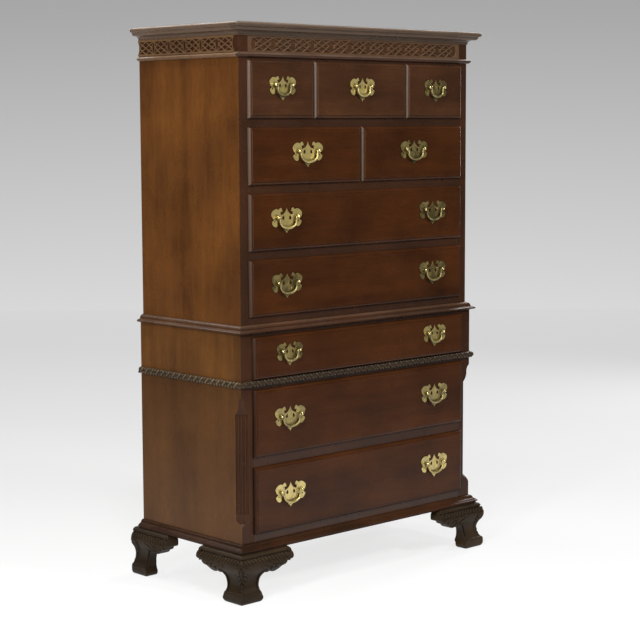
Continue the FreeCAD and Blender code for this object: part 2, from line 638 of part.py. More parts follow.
def drawer_runners():
    """The runners that carry the drawers, and the guides that keep them straight."""
    pieces = []
    upper_side = f"({HALF_UPPER} - side_thick)"
    lower_side = f"({HALF_LOWER} - side_thick)"
    upper_rows = (("fourth", FOURTH, "upper_front_height"), ("third", THIRD, "upper_front_height"),
                  ("second", SECOND, "upper_front_height"), ("first", FIRST, "upper_front_height"))
    lower_rows = (("seventh", SEVENTH, "seventh_height"), ("sixth", SIXTH, "sixth_height"),
                  ("fifth", FIFTH, "fifth_height"))
    cases = ((upper_rows, upper_side, UPPER_OPENING, UPPER_FRONT, WAIST_LEVEL),
             (lower_rows, lower_side, LOWER_OPENING, LOWER_FRONT, LOWER_BOTTOM))
    for rows, side, opening, front, bottom in cases:
        start = f"({front} + rail_depth)"
        below = f"({bottom} + board_thick)"
        for name, row, height in rows:
            top = f"({row} + lip_overlap)"
            inner = f"{opening} - runner_width"
            guide_top = f"{top} + guide_height"
            pieces += board_pair(f"runner_{name}", (inner, start, below), (side, BACK_FACE, top))
            pieces += board_pair(f"guide_{name}", (opening, start, top), (side, BACK_FACE, guide_top))
            below = f"({row} + {height} - lip_overlap)"
    start = f"({UPPER_FRONT} + rail_depth)"
    for name, middle, row in divider_places():
        top = f"({row} + lip_overlap)"
        below = f"({row} - upper_rail_show - lip_overlap)"
        half_runner = "centre_runner_width / 2"
        pieces.append(board(f"runner_{name}_divider", (f"{middle} - {half_runner}", start, below),
                            (f"{middle} + {half_runner}", BACK_FACE, top)))
        pieces.append(board(f"guide_{name}_divider", (f"{middle} - {DIVIDER} / 2", start, top),
                            (f"{middle} + {DIVIDER} / 2", BACK_FACE, f"{top} + guide_height")))
    node("drawer_runners", pieces)


def mouldings():
    """The five mouldings that run round the front and sides."""
    moulding("cornice", CORNICE, "cornice_out", "cornice_height", HALF_UPPER, UPPER_FRONT, FRET_TOP)
    moulding("frieze_bead", BEAD, "bead_out", "bead_height", HALF_UPPER, UPPER_FRONT, BEAD_BOTTOM)
    moulding("waist_moulding", WAIST, "waist_out", "waist_height", HALF_UPPER, UPPER_FRONT, WAIST_LEVEL)
    carved_bottom = f"({FIFTH} - carved_gap - carved_height)"
    moulding("carved_moulding", CARVED, "carved_out", "carved_height", HALF_LOWER, LOWER_FRONT, carved_bottom)
    moulding("base_moulding", BASE, "base_out", "base_height", HALF_LOWER, LOWER_FRONT, LOWER_BOTTOM)


def fret_frieze():
    """The pierced strips of the frieze: one set flush in the front, one on each side board."""
    front_length = value(f"2 * {UPPER_OPENING}")
    front = fret_strip("fret_front", front_length, value("front_fret_margin"), int(value("front_periods")),
                       value("front_lens_width"), False)
    upright = FreeCAD.Rotation(Vector(1, 0, 0), 90)
    front_place = Vector(-front_length / 2, value(f"{UPPER_FRONT} + fret_thick"), value(FRET_BOTTOM))
    front.Placement = FreeCAD.Placement(front_place, upright)
    side_length = value("case_depth - side_fret_start")
    side = fret_strip("fret_right", side_length, 0, int(value("side_periods")),
                      value("side_lens_width"), True)
    outwards = FreeCAD.Rotation(Vector(0, 0, 1), 90).multiply(upright)
    side_place = Vector(value(HALF_UPPER), value(f"{UPPER_FRONT} + side_fret_start"), value(FRET_BOTTOM))
    side.Placement = FreeCAD.Placement(side_place, outwards)
    node("fret_frieze", [front, side, mirrored("fret_left", side)])


def bracket(label, along, face, length):
    """A length of bracket along X in front of a face plane, with an ogee profile."""
    body = new_body(label)
    profile = new_sketch(body, f"{label}_profile", "YZ_Plane", along)
    outline = [(f"{face} - {out} * knee_out", f"{up} * foot_height", -sweep) for out, up, sweep in OGEE]
    outline += [(f"{face} + bracket_inset", "foot_height", 0), (f"{face} + bracket_inset", "0", 0)]
    draw(profile, outline)
    pad(body, profile, length)
    return body


def bracket_feet():
    """Four ogee bracket feet with their glue blocks."""
    corner_x = f"(-{HALF_LOWER})"
    reach = f"(knee_out + {CUT_SPARE})"
    front_face = bracket("front_bracket_left", f"{corner_x} - {reach}", LOWER_FRONT,
                         f"{reach} + bracket_length + {CUT_SPARE}")
    edge = new_sketch(front_face, "front_bracket_edge", "XZ_Plane")
    scallops(edge, corner_x, "bracket_length")
    cut_through(front_face, edge)
    mitre = new_sketch(front_face, "front_bracket_mitre", "XY_Plane")
    inset = f"(bracket_inset + {CUT_SPARE})"
    far = f"({reach} + {CUT_SPARE})"
    draw(mitre, ((f"{corner_x} - {far}", f"{LOWER_FRONT} - {far}", 0),
                 (f"{corner_x} + {inset}", f"{LOWER_FRONT} + {inset}", 0),
                 (f"{corner_x} - {far}", f"{LOWER_FRONT} + {inset}", 0)))
    cut_through(front_face, mitre)
    side_face = mirrored("side_bracket_left", front_face, (corner_x, LOWER_FRONT, "0"), Vector(1, -1, 0))

    # The rear face is drawn like a front one that starts at the back plane, then turned to face the side.
    rear_face = bracket("rear_bracket_left", "-rear_foot_out", "0",
                        f"rear_foot_out + rear_foot_shift + rear_foot_length + {CUT_SPARE}")
    edge = new_sketch(rear_face, "rear_bracket_edge", "XZ_Plane")
    scallops(edge, "rear_foot_shift", "rear_foot_length")
    cut_through(rear_face, edge)
    rear_face.Placement.Rotation = FreeCAD.Rotation(Vector(0, 0, 1), -90)
    rear_face.setExpression("Placement.Base.x", bound(corner_x))
    rear_face.setExpression("Placement.Base.y", bound(BACK))

    inner_x = f"({corner_x} + bracket_inset)"
    plain = new_body("rear_plain_bracket_left")
    outline = new_sketch(plain, "rear_plain_outline", "XZ_Plane", f"-{BACK}")
    plain_bottom = "foot_height - plain_height"
    draw(outline, ((inner_x, plain_bottom, 0), (f"{inner_x} + plain_tip", plain_bottom, 0),
                   (f"{inner_x} + plain_length", "foot_height", 0), (inner_x, "foot_height", 0)))
    pad(plain, outline, "plain_thick")

    block_x = f"({inner_x} + glue_block)"
    front_block = f"({LOWER_FRONT} + bracket_inset)"
    rear_block = f"({BACK} - plain_thick)"
    blocks = [board("front_block_left", (inner_x, front_block, "glue_block_lift"),
                    (block_x, f"{front_block} + glue_block", "foot_height")),
              board("rear_block_left", (inner_x, f"{rear_block} - glue_block", "rear_block_lift"),
                    (block_x, rear_block, "foot_height"))]
    left = [front_face, side_face, rear_face, plain] + blocks
    node("bracket_feet", left + [mirrored(piece.Name.replace("left", "right"), piece) for piece in left])


def scallops(sketch, start, length):
    """The waste below a bracket, from its tip to the floor."""
    waste = [(f"{start} + {share} * {length}", f"{up} * foot_height", sweep) for share, up, sweep in SCALLOPS]
    far = f"{start} + {length} + 2 * {CUT_SPARE}"
    waste += [(f"{start} + {SCALLOPS[-1][0]} * {length}", f"-{CUT_SPARE}", 0), (far, f"-{CUT_SPARE}", 0),
              (far, "foot_height", 0)]
    draw(sketch, waste)


def plate_master(pattern):
    """The pierced plate of a pattern of pull, about the middle of the pull on the face of a drawer front."""
    spacing, width, top, drop, _ = PATTERNS[pattern]
    plate = new_body(f"{pattern}_plate")
    outline = new_sketch(plate, f"{pattern}_plate_outline", "XZ_Plane")

    def place(x, y):
        return f"{x} * {width} / 2", f"{y} * {top}" if y >= 0 else f"{y} * {drop}"

    right = [place(x, y) + (sweep,) for x, y, sweep in PLATE]
    left = []
    for index in range(len(PLATE) - 1, 0, -1):
        x, y = place(-PLATE[index][0], PLATE[index][1])
        left.append((x, y, PLATE[index - 1][2]))
    tip = ("0", f"-{drop}", PLATE[-1][2])
    draw(outline, right + [tip] + left)
    for sign in (1, -1):
        draw(outline, [place(sign * x, y) + (sign * sweep,) for x, y, sweep in TEARDROP])
        draw_circle(outline, f"{sign} * {spacing} / 2", "0", "shank_radius + shank_gap")
        draw_circle(outline, *place(sign * WING_HOLE[0], WING_HOLE[1]), "wing_hole_radius")
    pad(plate, outline, "plate_thick")
    return plate


def post_master():
    """A turned post with a ball head, and the nut on its inner end."""
    post = new_body("pull_post")
    profile = new_sketch(post, "post_profile", "XY_Plane")
    face = "(-plate_thick)"
    head = "(-plate_thick - post_stand)"
    seat = "sqrt(head_radius * head_radius - neck_radius * neck_radius)"
    inner = "(field_rise + lip_thick + lip_gap + block_thick + nut_thick + shank_spare)"
    ball_sweep = 180 - math.degrees(math.asin(value("neck_radius") / value("head_radius")))
    draw(profile, (("0", inner, 0), ("0", f"{head} - head_radius", ball_sweep),
                   ("neck_radius", f"{head} + {seat}", 0), ("neck_radius", f"{face} - collar_thick", 0),
                   ("collar_radius", f"{face} - collar_thick", 0),
                   ("collar_radius", face, 0), ("shank_radius", face, 0), ("shank_radius", inner, 0)))
    turned = post.newObject("PartDesign::Revolution", "post_turned")
    turned.Profile = profile
    turned.ReferenceAxis = (profile, ["V_Axis"])
    turned.Angle = 360
    eye = new_sketch(post, "post_eye", "YZ_Plane")
    draw_circle(eye, head, "0", "pin_radius + pin_gap")
    cut_through(post, eye)

    nut = new_body("pull_nut")
    outline = new_sketch(nut, "nut_outline", "XZ_Plane", "-(field_rise + lip_thick + lip_gap + block_thick)")
    draw_rectangle(outline, "-nut_width / 2", "-nut_width / 2", "nut_width / 2", "nut_width / 2")
    draw_circle(outline, "0", "0", "shank_radius")
    pad(nut, outline, "nut_thick", backwards=True)
    return post, nut


def bail_master(pattern):
    """The swan-neck bail of a pattern of pull: a bar that swells at its middle, with a pin at each end."""
    spacing, _, _, _, bail_drop = PATTERNS[pattern]
    end_x = value(f"{spacing} / 2 - head_radius - bail_end_gap")
    elbow = value("bail_elbow")
    straight = value("bail_straight")
    drop = value(bail_drop)
    arm_x = end_x - elbow
    arm_end = -elbow - straight
    turn = math.radians(BAIL_TURN)
    reach_down = drop + arm_end
    # Two arcs below the arm: radii that end level at the middle of the bar.
    upper_share = (1 - math.cos(turn)) / math.cos(turn)
    bar_rise = 1 - math.sin(turn)
    upper_reach = reach_down - arm_x * bar_rise / math.cos(turn)
    upper_radius = upper_reach / (math.sin(turn) - upper_share * bar_rise)
    lower_radius = arm_x / math.cos(turn) - upper_share * upper_radius

    def on_arc(centre, radius, angle):
        return centre + Vector(math.cos(angle), 0, math.sin(angle)) * radius

    def arc(centre, radius, start, stop):
        points = [on_arc(centre, radius, angle) for angle in (start, (start + stop) / 2, stop)]
        return Part.Arc(*points).toShape()

    elbow_centre = Vector(end_x, 0, -elbow)
    arm_centre = Vector(arm_x - upper_radius, 0, arm_end)
    bar_centre = Vector(0, 0, lower_radius - drop)
    right = [arc(elbow_centre, elbow, math.pi / 2, math.pi),
             Part.makeLine(Vector(arm_x, 0, -elbow), Vector(arm_x, 0, arm_end)),
             arc(arm_centre, upper_radius, 0, -turn), arc(bar_centre, lower_radius, -turn, -math.pi / 2)]
    left = [arc(bar_centre, lower_radius, -math.pi / 2, turn - math.pi),
            arc(Vector(-arm_centre.x, 0, arm_centre.z), upper_radius, math.pi + turn, math.pi),
            Part.makeLine(Vector(-arm_x, 0, arm_end), Vector(-arm_x, 0, -elbow)),
            arc(Vector(-elbow_centre.x, 0, elbow_centre.z), elbow, 0, math.pi / 2)]
    path = Part.Wire(right + left)

    def ring(point, direction, radius):
        return Part.Wire(Part.makeCircle(radius, point, direction))

    shell = Part.BRepOffsetAPI.MakePipeShell(path)
    end_radius = value("bail_end_radius")
    along = Vector(-1, 0, 0)
    shell.add(ring(Vector(end_x, 0, 0), along, end_radius))
    shell.add(ring(Vector(0, 0, -drop), along, value("bail_belly_radius")))
    shell.add(ring(Vector(-end_x, 0, 0), along, end_radius))
    shell.build()
    shell.makeSolid()
    solid = shell.shape()
    for sign in (1, -1):
        pin_start = Vector(sign * end_x, 0, 0)
        pin = Part.makeCylinder(value("pin_radius"), value("pin_length"), pin_start, Vector(sign, 0, 0))
        solid = solid.fuse(pin)
    bail = doc.addObject("Part::Feature", f"{pattern}_bail")
    bail.Shape = solid.Solids[0]
    return bail


def copy_of(source, label, place):
    """A copy of a master piece at a place."""
    link = doc.addObject("App::Link", label)
    link.LinkedObject = source
    for axis, distance in zip("xyz", place):
        link.setExpression(f"Placement.Base.{axis}", bound(distance))
    return link


def drawer(name, middle, width, bottom, height, front, pattern, pulls, masters):
    """One drawer: its lipped front, its box, its brasses and its bails."""
    face = f"({front} - lip_gap - lip_thick - field_rise)"
    post_level = f"({bottom} + {height} / 2 + pull_rise)"
    spacing = PATTERNS[pattern][0]
    drawer_front(name, middle, width, bottom, height, front, spacing, pulls, post_level)
    drawer_box(name, middle, width, bottom, height, front)
    plate, bail = masters[pattern]
    post, nut = masters["posts"]
    brasses = []
    for suffix, offset in pulls:
        centre = f"({middle} + {offset})"
        brasses.append(copy_of(plate, f"{name}_plate{suffix}", (centre, face, post_level)))
        for side, sign in (("a", "-"), ("b", "")):
            post_x = f"{centre} + {sign}{spacing} / 2"
            brasses.append(copy_of(post, f"{name}_post{suffix}_{side}", (post_x, face, post_level)))
            brasses.append(copy_of(nut, f"{name}_nut{suffix}_{side}", (post_x, face, post_level)))
        pivot = f"{face} - plate_thick - post_stand"
        hung = copy_of(bail, f"{name}_bail{suffix}_copy", (centre, pivot, post_level))
        node(f"{name}_bail{suffix}", [hung])
    node(f"{name}_brasses", brasses)


def drawer_front(name, middle, width, bottom, height, front, spacing, pulls, post_level):
    """A lipped drawer front with a thumbnail edge, bored for its posts."""
    body = new_body(f"{name}_front")
    left = f"({middle} - {width} / 2)"
    right = f"({middle} + {width} / 2)"
    top = f"({bottom} + {height})"

    lip = new_sketch(body, f"{name}_lip", "XZ_Plane", f"lip_gap - {front}")
    draw_rectangle(lip, left, bottom, right, top)
    lip_pad = pad(body, lip, "lip_thick")
    doc.recompute()
    lip_face = value(f"{front} - lip_gap - lip_thick")
    edges = [f"Edge{i}" for i, edge in enumerate(lip_pad.Shape.Edges, start=1)
             if all(abs(vertex.Y - lip_face) < 1e-6 for vertex in edge.Vertexes)]
    rounded = body.newObject("PartDesign::Fillet", f"{name}_thumbnail")
    rounded.Base = (lip_pad, edges)
    rounded.setExpression("Radius", bound("edge_round"))

    inset = "(edge_round + edge_quirk)"
    field = new_sketch(body, f"{name}_field", "XZ_Plane", f"lip_gap + lip_thick - {front}")
    draw_rectangle(field, f"{left} + {inset}", f"{bottom} + {inset}", f"{right} - {inset}",
                   f"{top} - {inset}")
    pad(body, field, "field_rise")

    side = "(lip_overlap + fit_gap)"
    block = new_sketch(body, f"{name}_block", "XZ_Plane", f"lip_gap - {front}")
    draw_rectangle(block, f"{left} + {side}", f"{bottom} + lip_overlap + runner_gap", f"{right} - {side}",
                   f"{top} - lip_overlap - top_gap")
    pad(body, block, "lip_gap + block_thick", backwards=True)

    bores = new_sketch(body, f"{name}_bores", "XZ_Plane", f"-{front}")
    for _, offset in pulls:
        for sign in ("-", ""):
            post_x = f"{middle} + {offset} + {sign}{spacing} / 2"
            draw_circle(bores, post_x, post_level, "shank_radius + shank_gap")
    cut_through(body, bores)


def drawer_box(name, middle, width, bottom, height, front):
    """The sides, back and bottom of a drawer."""
    half = f"({width} / 2 - lip_overlap - fit_gap)"
    left = f"({middle} - {half})"
    right = f"({middle} + {half})"
    low = f"({bottom} + lip_overlap + runner_gap)"
    high = f"({bottom} + {height} - lip_overlap - top_gap)"
    start = f"({front} + block_thick)"
    end = f"({BACK_FACE} - rear_space)"
    inner_left = f"({left} + drawer_wall)"
    inner_right = f"({right} - drawer_wall)"
    floor_bottom = f"({low} + floor_lift)"
    node(f"{name}_box", [
        board(f"{name}_side_left", (left, start, low), (inner_left, end, high)),
        board(f"{name}_side_right", (inner_right, start, low), (right, end, high)),
        board(f"{name}_back", (inner_left, f"{end} - drawer_wall", f"{floor_bottom} + drawer_floor"),
              (inner_right, end, high)),
        board(f"{name}_bottom", (inner_left, start, floor_bottom),
              (inner_right, end, f"{floor_bottom} + drawer_floor")),
    ])


def write_parts():
    """Check every object, then write each sub-part to its own file."""
    doc.recompute()
    failed = [item.Name for item in doc.Objects if {"Invalid", "Error"} & set(item.State)]
    if failed:
        raise RuntimeError(f"failed objects: {failed}")
    nodes = [item for item in doc.Objects if item.Label in node_names()]
    for item in nodes:
        if item.Shape.isNull() or not item.Shape.isValid():
            raise RuntimeError(f"bad shape: {item.Label}")
    os.makedirs("parts", exist_ok=True)
    for item in nodes:
        item.Shape.exportStep(f"parts/{item.Label}.step")
    print(f"{len(nodes)} nodes, {sum(len(item.Shape.Solids) for item in nodes)} solids")


def node_names():
    """The labels of the sub-parts that are written."""
    names = ["upper_sides", "upper_rails", "lower_sides", "lower_rails", "corner_posts", "case_boards",
             "back_boards", "drawer_runners", "cornice", "frieze_bead", "waist_moulding", "carved_moulding",
             "base_moulding", "fret_frieze", "bracket_feet"]
    for name, *_, pulls in DRAWERS:
        names += [f"{name}_front", f"{name}_box", f"{name}_brasses"]
        names += [f"{name}_bail{suffix}" for suffix, _ in pulls]
    return names


def main():
    """Build the whole chest."""
    upper_case()
    lower_case()
    case_boards()
    drawer_runners()
    mouldings()
    fret_frieze()
    bracket_feet()
    masters = {pattern: (plate_master(pattern), bail_master(pattern)) for pattern in PATTERNS}
    masters["posts"] = post_master()
    for entry in DRAWERS:
        drawer(*entry, masters)
    write_parts()


main()
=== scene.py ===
"""Looks of a chest on chest: polished mahogany, carved mouldings and feet, and old brass pulls."""
import json
import math

import bmesh
import bpy
from mathutils import Matrix, Vector
from mathutils.bvhtree import BVHTree


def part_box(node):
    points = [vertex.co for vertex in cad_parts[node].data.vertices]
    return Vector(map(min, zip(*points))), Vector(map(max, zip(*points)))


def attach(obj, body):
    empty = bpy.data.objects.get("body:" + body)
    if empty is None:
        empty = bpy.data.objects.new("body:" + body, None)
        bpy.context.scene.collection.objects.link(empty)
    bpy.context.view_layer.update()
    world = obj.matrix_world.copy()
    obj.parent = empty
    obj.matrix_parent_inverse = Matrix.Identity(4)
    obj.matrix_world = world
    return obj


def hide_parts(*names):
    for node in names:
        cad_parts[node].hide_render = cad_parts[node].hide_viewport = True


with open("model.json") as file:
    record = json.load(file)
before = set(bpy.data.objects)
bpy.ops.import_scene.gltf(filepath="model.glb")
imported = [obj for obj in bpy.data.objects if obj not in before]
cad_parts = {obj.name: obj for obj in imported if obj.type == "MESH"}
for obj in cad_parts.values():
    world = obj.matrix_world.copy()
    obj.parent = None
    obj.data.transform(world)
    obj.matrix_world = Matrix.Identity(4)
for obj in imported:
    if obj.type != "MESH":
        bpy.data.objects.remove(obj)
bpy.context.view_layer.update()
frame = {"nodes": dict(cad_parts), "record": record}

bl_info = {
    "name": "Chest on Chest",
    "version": (1, 0, 0),
    "blender": (4, 5, 0),
    "location": "View3D > Sidebar > Chest",
    "description": "Woods, brasses, carving and studio for a chest on chest",
    "category": "Object",
}

BODIES = frame["record"]["behaviour"]["bodies"]
DRAWERS = [body[:-len("_drawer")] for body in BODIES if body.endswith("_drawer")]
MM = 0.001
# A zone of other colours starts this far inside the face that it covers.
SKIN = 0.3 * MM


def linear(red, green, blue):
    """A screen colour from 0 to 255 as the linear colour that a shader takes."""
    def channel(level):
        share = level / 255
        return share / 12.92 if share <= 0.04045 else ((share + 0.055) / 1.055) ** 2.4
    return channel(red), channel(green), channel(blue)


def colour_property(label, description, *screen):
    """A colour that a user can change."""
    return bpy.props.FloatVectorProperty(name=label, description=description, subtype="COLOR", size=3,
                                         min=0, max=1, default=linear(*screen))


def wood_property(shade, label, *screen):
    """The colour of the dark or the light streaks of a wood."""
    return colour_property(f"{label}, {shade}", f"The {shade} streaks of the {label.lower()}", *screen)


def length_property(label, description, metres):
    """A small length that a user can change."""
    return bpy.props.FloatProperty(name=label, description=description, default=metres, min=0, max=0.2,
                                   subtype="DISTANCE", unit="LENGTH", precision=4)


def power_property(label, description, watts):
    """The power of a lamp."""
    return bpy.props.FloatProperty(name=label, description=description, default=watts, min=0,
                                   subtype="POWER", unit="POWER")


class ChestFinishes(bpy.types.PropertyGroup):
    """Colours of the woods and the brass."""
    upper_side_dark: wood_property("dark", "Upper sides", 57, 29, 12)
    upper_side_light: wood_property("light", "Upper sides", 125, 77, 32)
    lower_side_dark: wood_property("dark", "Lower sides", 64, 39, 18)
    lower_side_light: wood_property("light", "Lower sides", 106, 68, 32)
    front_dark: wood_property("dark", "Drawer fronts", 35, 16, 6)
    front_light: wood_property("light", "Drawer fronts", 83, 45, 19)
    # Painted sheen: the top row of drawer fronts takes lighter, greyer colours that stand in for the pale
    # room mirrored in them.
    sheen_top_row_dark: wood_property("dark", "Top row of drawers", 37, 21, 13)
    sheen_top_row_light: wood_property("light", "Top row of drawers", 86, 54, 33)
    # Painted highlight on the rounded ends of the upper drawer fronts.
    lip_highlight: colour_property("Lips, pale", "Rubbed edges of the upper drawer fronts", 106, 88, 76)
    band_dark: wood_property("dark", "Band above the carving", 69, 41, 19)
    band_light: wood_property("light", "Band above the carving", 128, 83, 39)
    frame_dark: wood_property("dark", "Rails, stiles and posts", 42, 25, 15)
    frame_light: wood_property("light", "Rails, stiles and posts", 74, 44, 26)
    moulding_dark: wood_property("dark", "Mouldings", 56, 35, 22)
    moulding_light: wood_property("light", "Mouldings", 98, 64, 38)
    carved_dark: wood_property("dark", "Carved feet", 28, 20, 12)
    carved_light: wood_property("light", "Carved feet", 68, 52, 34)
    cornice_dark: wood_property("dark", "Dusty cornice", 92, 71, 55)
    cornice_light: wood_property("light", "Dusty cornice", 114, 91, 72)
    lobe_dark: wood_property("dark", "Carved moulding", 60, 47, 31)
    lobe_light: wood_property("light", "Carved moulding", 126, 104, 74)
    # Painted shade: the ground seen between the fret's bars is darker than the bars.
    shaded_ground_dark: wood_property("dark", "Ground of the fret", 56, 36, 23)
    shaded_ground_light: wood_property("light", "Ground of the fret", 92, 62, 40)
    fret_dark: wood_property("dark", "Fret", 98, 70, 45)
    fret_light: wood_property("light", "Fret", 142, 106, 72)
    lining_dark: wood_property("dark", "Bare oak inside", 122, 88, 54)
    lining_light: wood_property("light", "Bare oak inside", 176, 138, 94)
    # Dust on upward faces, which also paints a highlight along their top edges.
    dust: colour_property("Dust", "Old dust and wax on upward faces", 152, 138, 124)
    brass_bright: colour_property("Brass, bright", "Polished brass", 238, 216, 138)
    brass_dull: colour_property("Brass, dull", "Tarnished brass", 116, 102, 60)


class ChestCarving(bpy.types.PropertyGroup):
    """Sizes of the carved details."""
    lobe_pitch: length_property("Lobe pitch", "Lobe to lobe along the carved moulding", 0.0245)
    lobe_lean: bpy.props.FloatProperty(name="Lobe lean", description="Lean of the lobes from upright",
                                       default=math.radians(38), min=0, max=math.pi / 2, subtype="ANGLE")
    lobe_rise: length_property("Lobe rise", "Lobes above the half-round core of the moulding", 0.0022)
    gadroon_pitch: length_property("Gadroon pitch", "Gadroon to gadroon along the top of a foot", 0.0125)
    leaf_rise: length_property("Leaf rise", "Carved leaves above the face of a foot", 0.0028)
    rim_radius: length_property("Rim", "Radius of the roll along the edge of a foot", 0.0022)
    plate_bevel: length_property("Plate bevel", "Bevel round the edge of a pull plate", 0.0007)
    tail_height: length_property("Dovetail", "Height of a dovetail at a drawer's corner", 0.026)


class ChestStudio(bpy.types.PropertyGroup):
    """Camera and lamps."""
    lens: bpy.props.FloatProperty(name="Lens", description="Focal length on a 36 mm frame", default=96.34,
                                  min=20, max=300)
    left_power: power_property("Left lamp", "Tall soft lamp on the left", 126)
    right_power: power_property("Right lamp", "Tall soft lamp on the right", 80)
    high_power: power_property("High lamp", "Small lamp high on the left", 45)
    top_power: power_property("Top lamp", "Small lamp nearly overhead", 40)
    front_power: power_property("Front lamp", "Soft lamp high in front", 100)
    back_power: power_property("Back lamp", "Soft lamp high behind", 60)
    room_light: bpy.props.FloatProperty(name="Room light", description="Even light from the room",
                                        default=0.1, min=0, max=2)


# Node helpers

def add_node(tree, kind, **settings):
    """A node with some of its properties or input values set."""
    made = tree.nodes.new(kind)
    for key, setting in settings.items():
        if hasattr(made, key):
            setattr(made, key, setting)
        else:
            made.inputs[key.replace("_", " ")].default_value = setting
    return made


def link(source, target):
    """Join an output to an input."""
    source.id_data.links.new(source, target)


def maths(kind, operation, first, second):
    """A maths node on a socket, and on a second socket or a fixed value."""
    made = add_node(first.id_data, kind, operation=operation)
    link(first, made.inputs[0])
    if isinstance(second, bpy.types.NodeSocket):
        link(second, made.inputs[1])
    else:
        made.inputs[1].default_value = second
    return made


def value_math(operation, first, second):
    """The result of some maths on two values."""
    return maths("ShaderNodeMath", operation, first, second).outputs[0]


def dot(first, second):
    """How far one vector goes along another."""
    return maths("ShaderNodeVectorMath", "DOT_PRODUCT", first, second).outputs["Value"]


def remap(source, low, high, to_low, to_high):
    """A value moved from one range to another, held at its ends."""
    made = add_node(source.id_data, "ShaderNodeMapRange", clamp=True, From_Min=low, From_Max=high,
                    To_Min=to_low, To_Max=to_high)
    link(source, made.inputs["Value"])
    return made.outputs["Result"]


def noise(vector, scale, detail, rough):
    """Soft noise along a vector."""
    made = add_node(vector.id_data, "ShaderNodeTexNoise", Scale=scale, Detail=detail, Roughness=rough)
    link(vector, made.inputs["Vector"])
    return made


def mix_colours(tree, factor, first, second, blend="MIX"):
    """Two colours mixed by a factor."""
    made = tree.nodes.new("ShaderNodeMix")
    made.data_type = "RGBA"
    made.blend_type = blend
    for name, term in (("Factor_Float", factor), ("A_Color", first), ("B_Color", second)):
        socket = next(s for s in made.inputs if s.identifier == name)
        if isinstance(term, bpy.types.NodeSocket):
            link(term, socket)
        elif isinstance(term, (int, float)):
            socket.default_value = term
        else:
            socket.default_value = (*term, 1)
    return next(s for s in made.outputs if s.identifier == "Result_Color")


def new_group(name, inputs, outputs):
    """A shader group with named sockets, and its two ends."""
    tree = bpy.data.node_groups.new(name, "ShaderNodeTree")
    for way, sockets in (("INPUT", inputs), ("OUTPUT", outputs)):
        for label, kind in sockets.items():
            tree.interface.new_socket(label, in_out=way, socket_type=f"NodeSocket{kind}")
    return tree, tree.nodes.new("NodeGroupInput"), tree.nodes.new("NodeGroupOutput")


def new_material(name):
    """A material with its node tree, its shader and the place on its object."""
    material = bpy.data.materials.new(name)
    material.use_nodes = True
    tree = material.node_tree
    place = tree.nodes.new("ShaderNodeTexCoord")
    return material, tree, tree.nodes["Principled BSDF"], place.outputs["Object"]


# Finishes

# Layers of noise: scale, detail and roughness, then the span of the noise that is used.
BROAD_FIGURE = (0.8, 3, 0.55), (0.3, 0.7)
STRIPES = (3.4, 4, 0.62), (0.3, 0.7)
FIBRE = (26, 3, 0.6), (0.25, 0.75)
PORES = (150, 1, 0.5), (0.58, 0.72)
CLOUDS = (5, 3, 0.5), (0.32, 0.68)
EDGE_PATCHES = (24, 3, 0.5), (0.35, 0.7)
DUST_FILM = (9, 4, 0.5), (0.3, 0.7)
WAX_SMEARS = (6, 4, 0.65), (0.3, 0.7)
TARNISH_PATCHES = (34, 2, 0.5), (0.35, 0.7)
TARNISH_SPOTS = (130, 4, 0.6), (0.45, 0.72)
RUST_SPECKS = (600, 3, 0.5), (0.45, 0.65)
# Grain: noise and reach of its wander, share of broad figure to stripes, and of grain to clouds.
WANDER = (0.35, 2, 0.5)
WANDER_REACH = 1.1
BROAD_SHARE = 0.6
GRAIN_SHARE = 0.6
# Shade of the fibres, then tone, strength and bump of the pores.
FIBRE_SHADE = (0.84, 1.12)
PORE_TONE = 0.35
PORE_STRENGTH = 0.5
PORE_BUMP = 0.25
BUMP_DEPTH = 0.3 * MM
# Worn edges, partly a painted highlight: cosines of the turn where wear starts and where it is full, its
# strength and its tone.
EDGE_TURN = (0.985, 0.86)
EDGE_WEAR_AND_HIGHLIGHT = 0.55
WORN_AND_LIT_TONE = 1.7
EDGE_SAMPLES = 4
# Dust, which also paints a highlight on upward faces: slopes between which it settles, its thinnest film, and
# how much it roughens the polish.
DUST_AND_HIGHLIGHT_SLOPES = (0.15, 0.85)
THIN_FILM = 0.45
DUST_ROUGHNESS = 0.3
# Dirt and painted shade in hollows: width and span of openness in wood and in brass, and its tone.
WOOD_HOLLOWS = (7 * MM, (0.35, 0.95))
BRASS_HOLLOWS = (9 * MM, (0.5, 0.95))
HOLLOW_SAMPLES = 6
DIRT_AND_SHADE_TONE = 0.25
# Painted light on the ends of drawer fronts: heights from painted shade to painted highlight, sideways turns,
# strength.
LIP_LEVELS = (0.5, 1.4)
LIP_TURNS = (0.15, 0.6)
LIP_STRENGTH = 0.9
# Brass: swing of the tarnish about its mean, strength of its spots, dirt, coat and rough cast skin.
TARNISH_SWING = 0.25
SPOT_STRENGTH = 0.3
BRASS_DIRT_AND_SHADE = 0.9
COAT_ROUGHNESS = 0.12
CAST_SKIN = (420, 2, 0.5)
CAST_BUMP = 0.15


def layer(vector, pattern, low=0, high=1):
    """A layer of noise, with the used span of it spread from low to high."""
    size, span = pattern
    return remap(noise(vector, *size).outputs["Fac"], *span, low, high)


def shared(first, second, share):
    """A share of one value plus the rest of another."""
    return value_math("ADD", value_math("MULTIPLY", first, share),
                      value_math("MULTIPLY", second, 1 - share))


def pair(name):
    """The dark and the light colour of a wood."""
    tones = bpy.context.scene.chest_finishes
    return getattr(tones, f"{name}_dark"), getattr(tones, f"{name}_light")


def scaled(colour, factor):
    """A colour made darker or lighter."""
    return tuple(min(1, factor * part) for part in colour)


def dirt_and_shade_in_hollows(tree, hollows, strength):
    """How much dirt and painted shade lies on a surface, most in its narrow hollows."""
    width, span = hollows
    made = add_node(tree, "ShaderNodeAmbientOcclusion", samples=HOLLOW_SAMPLES, Distance=width)
    return remap(made.outputs["AO"], *span, strength, 0)


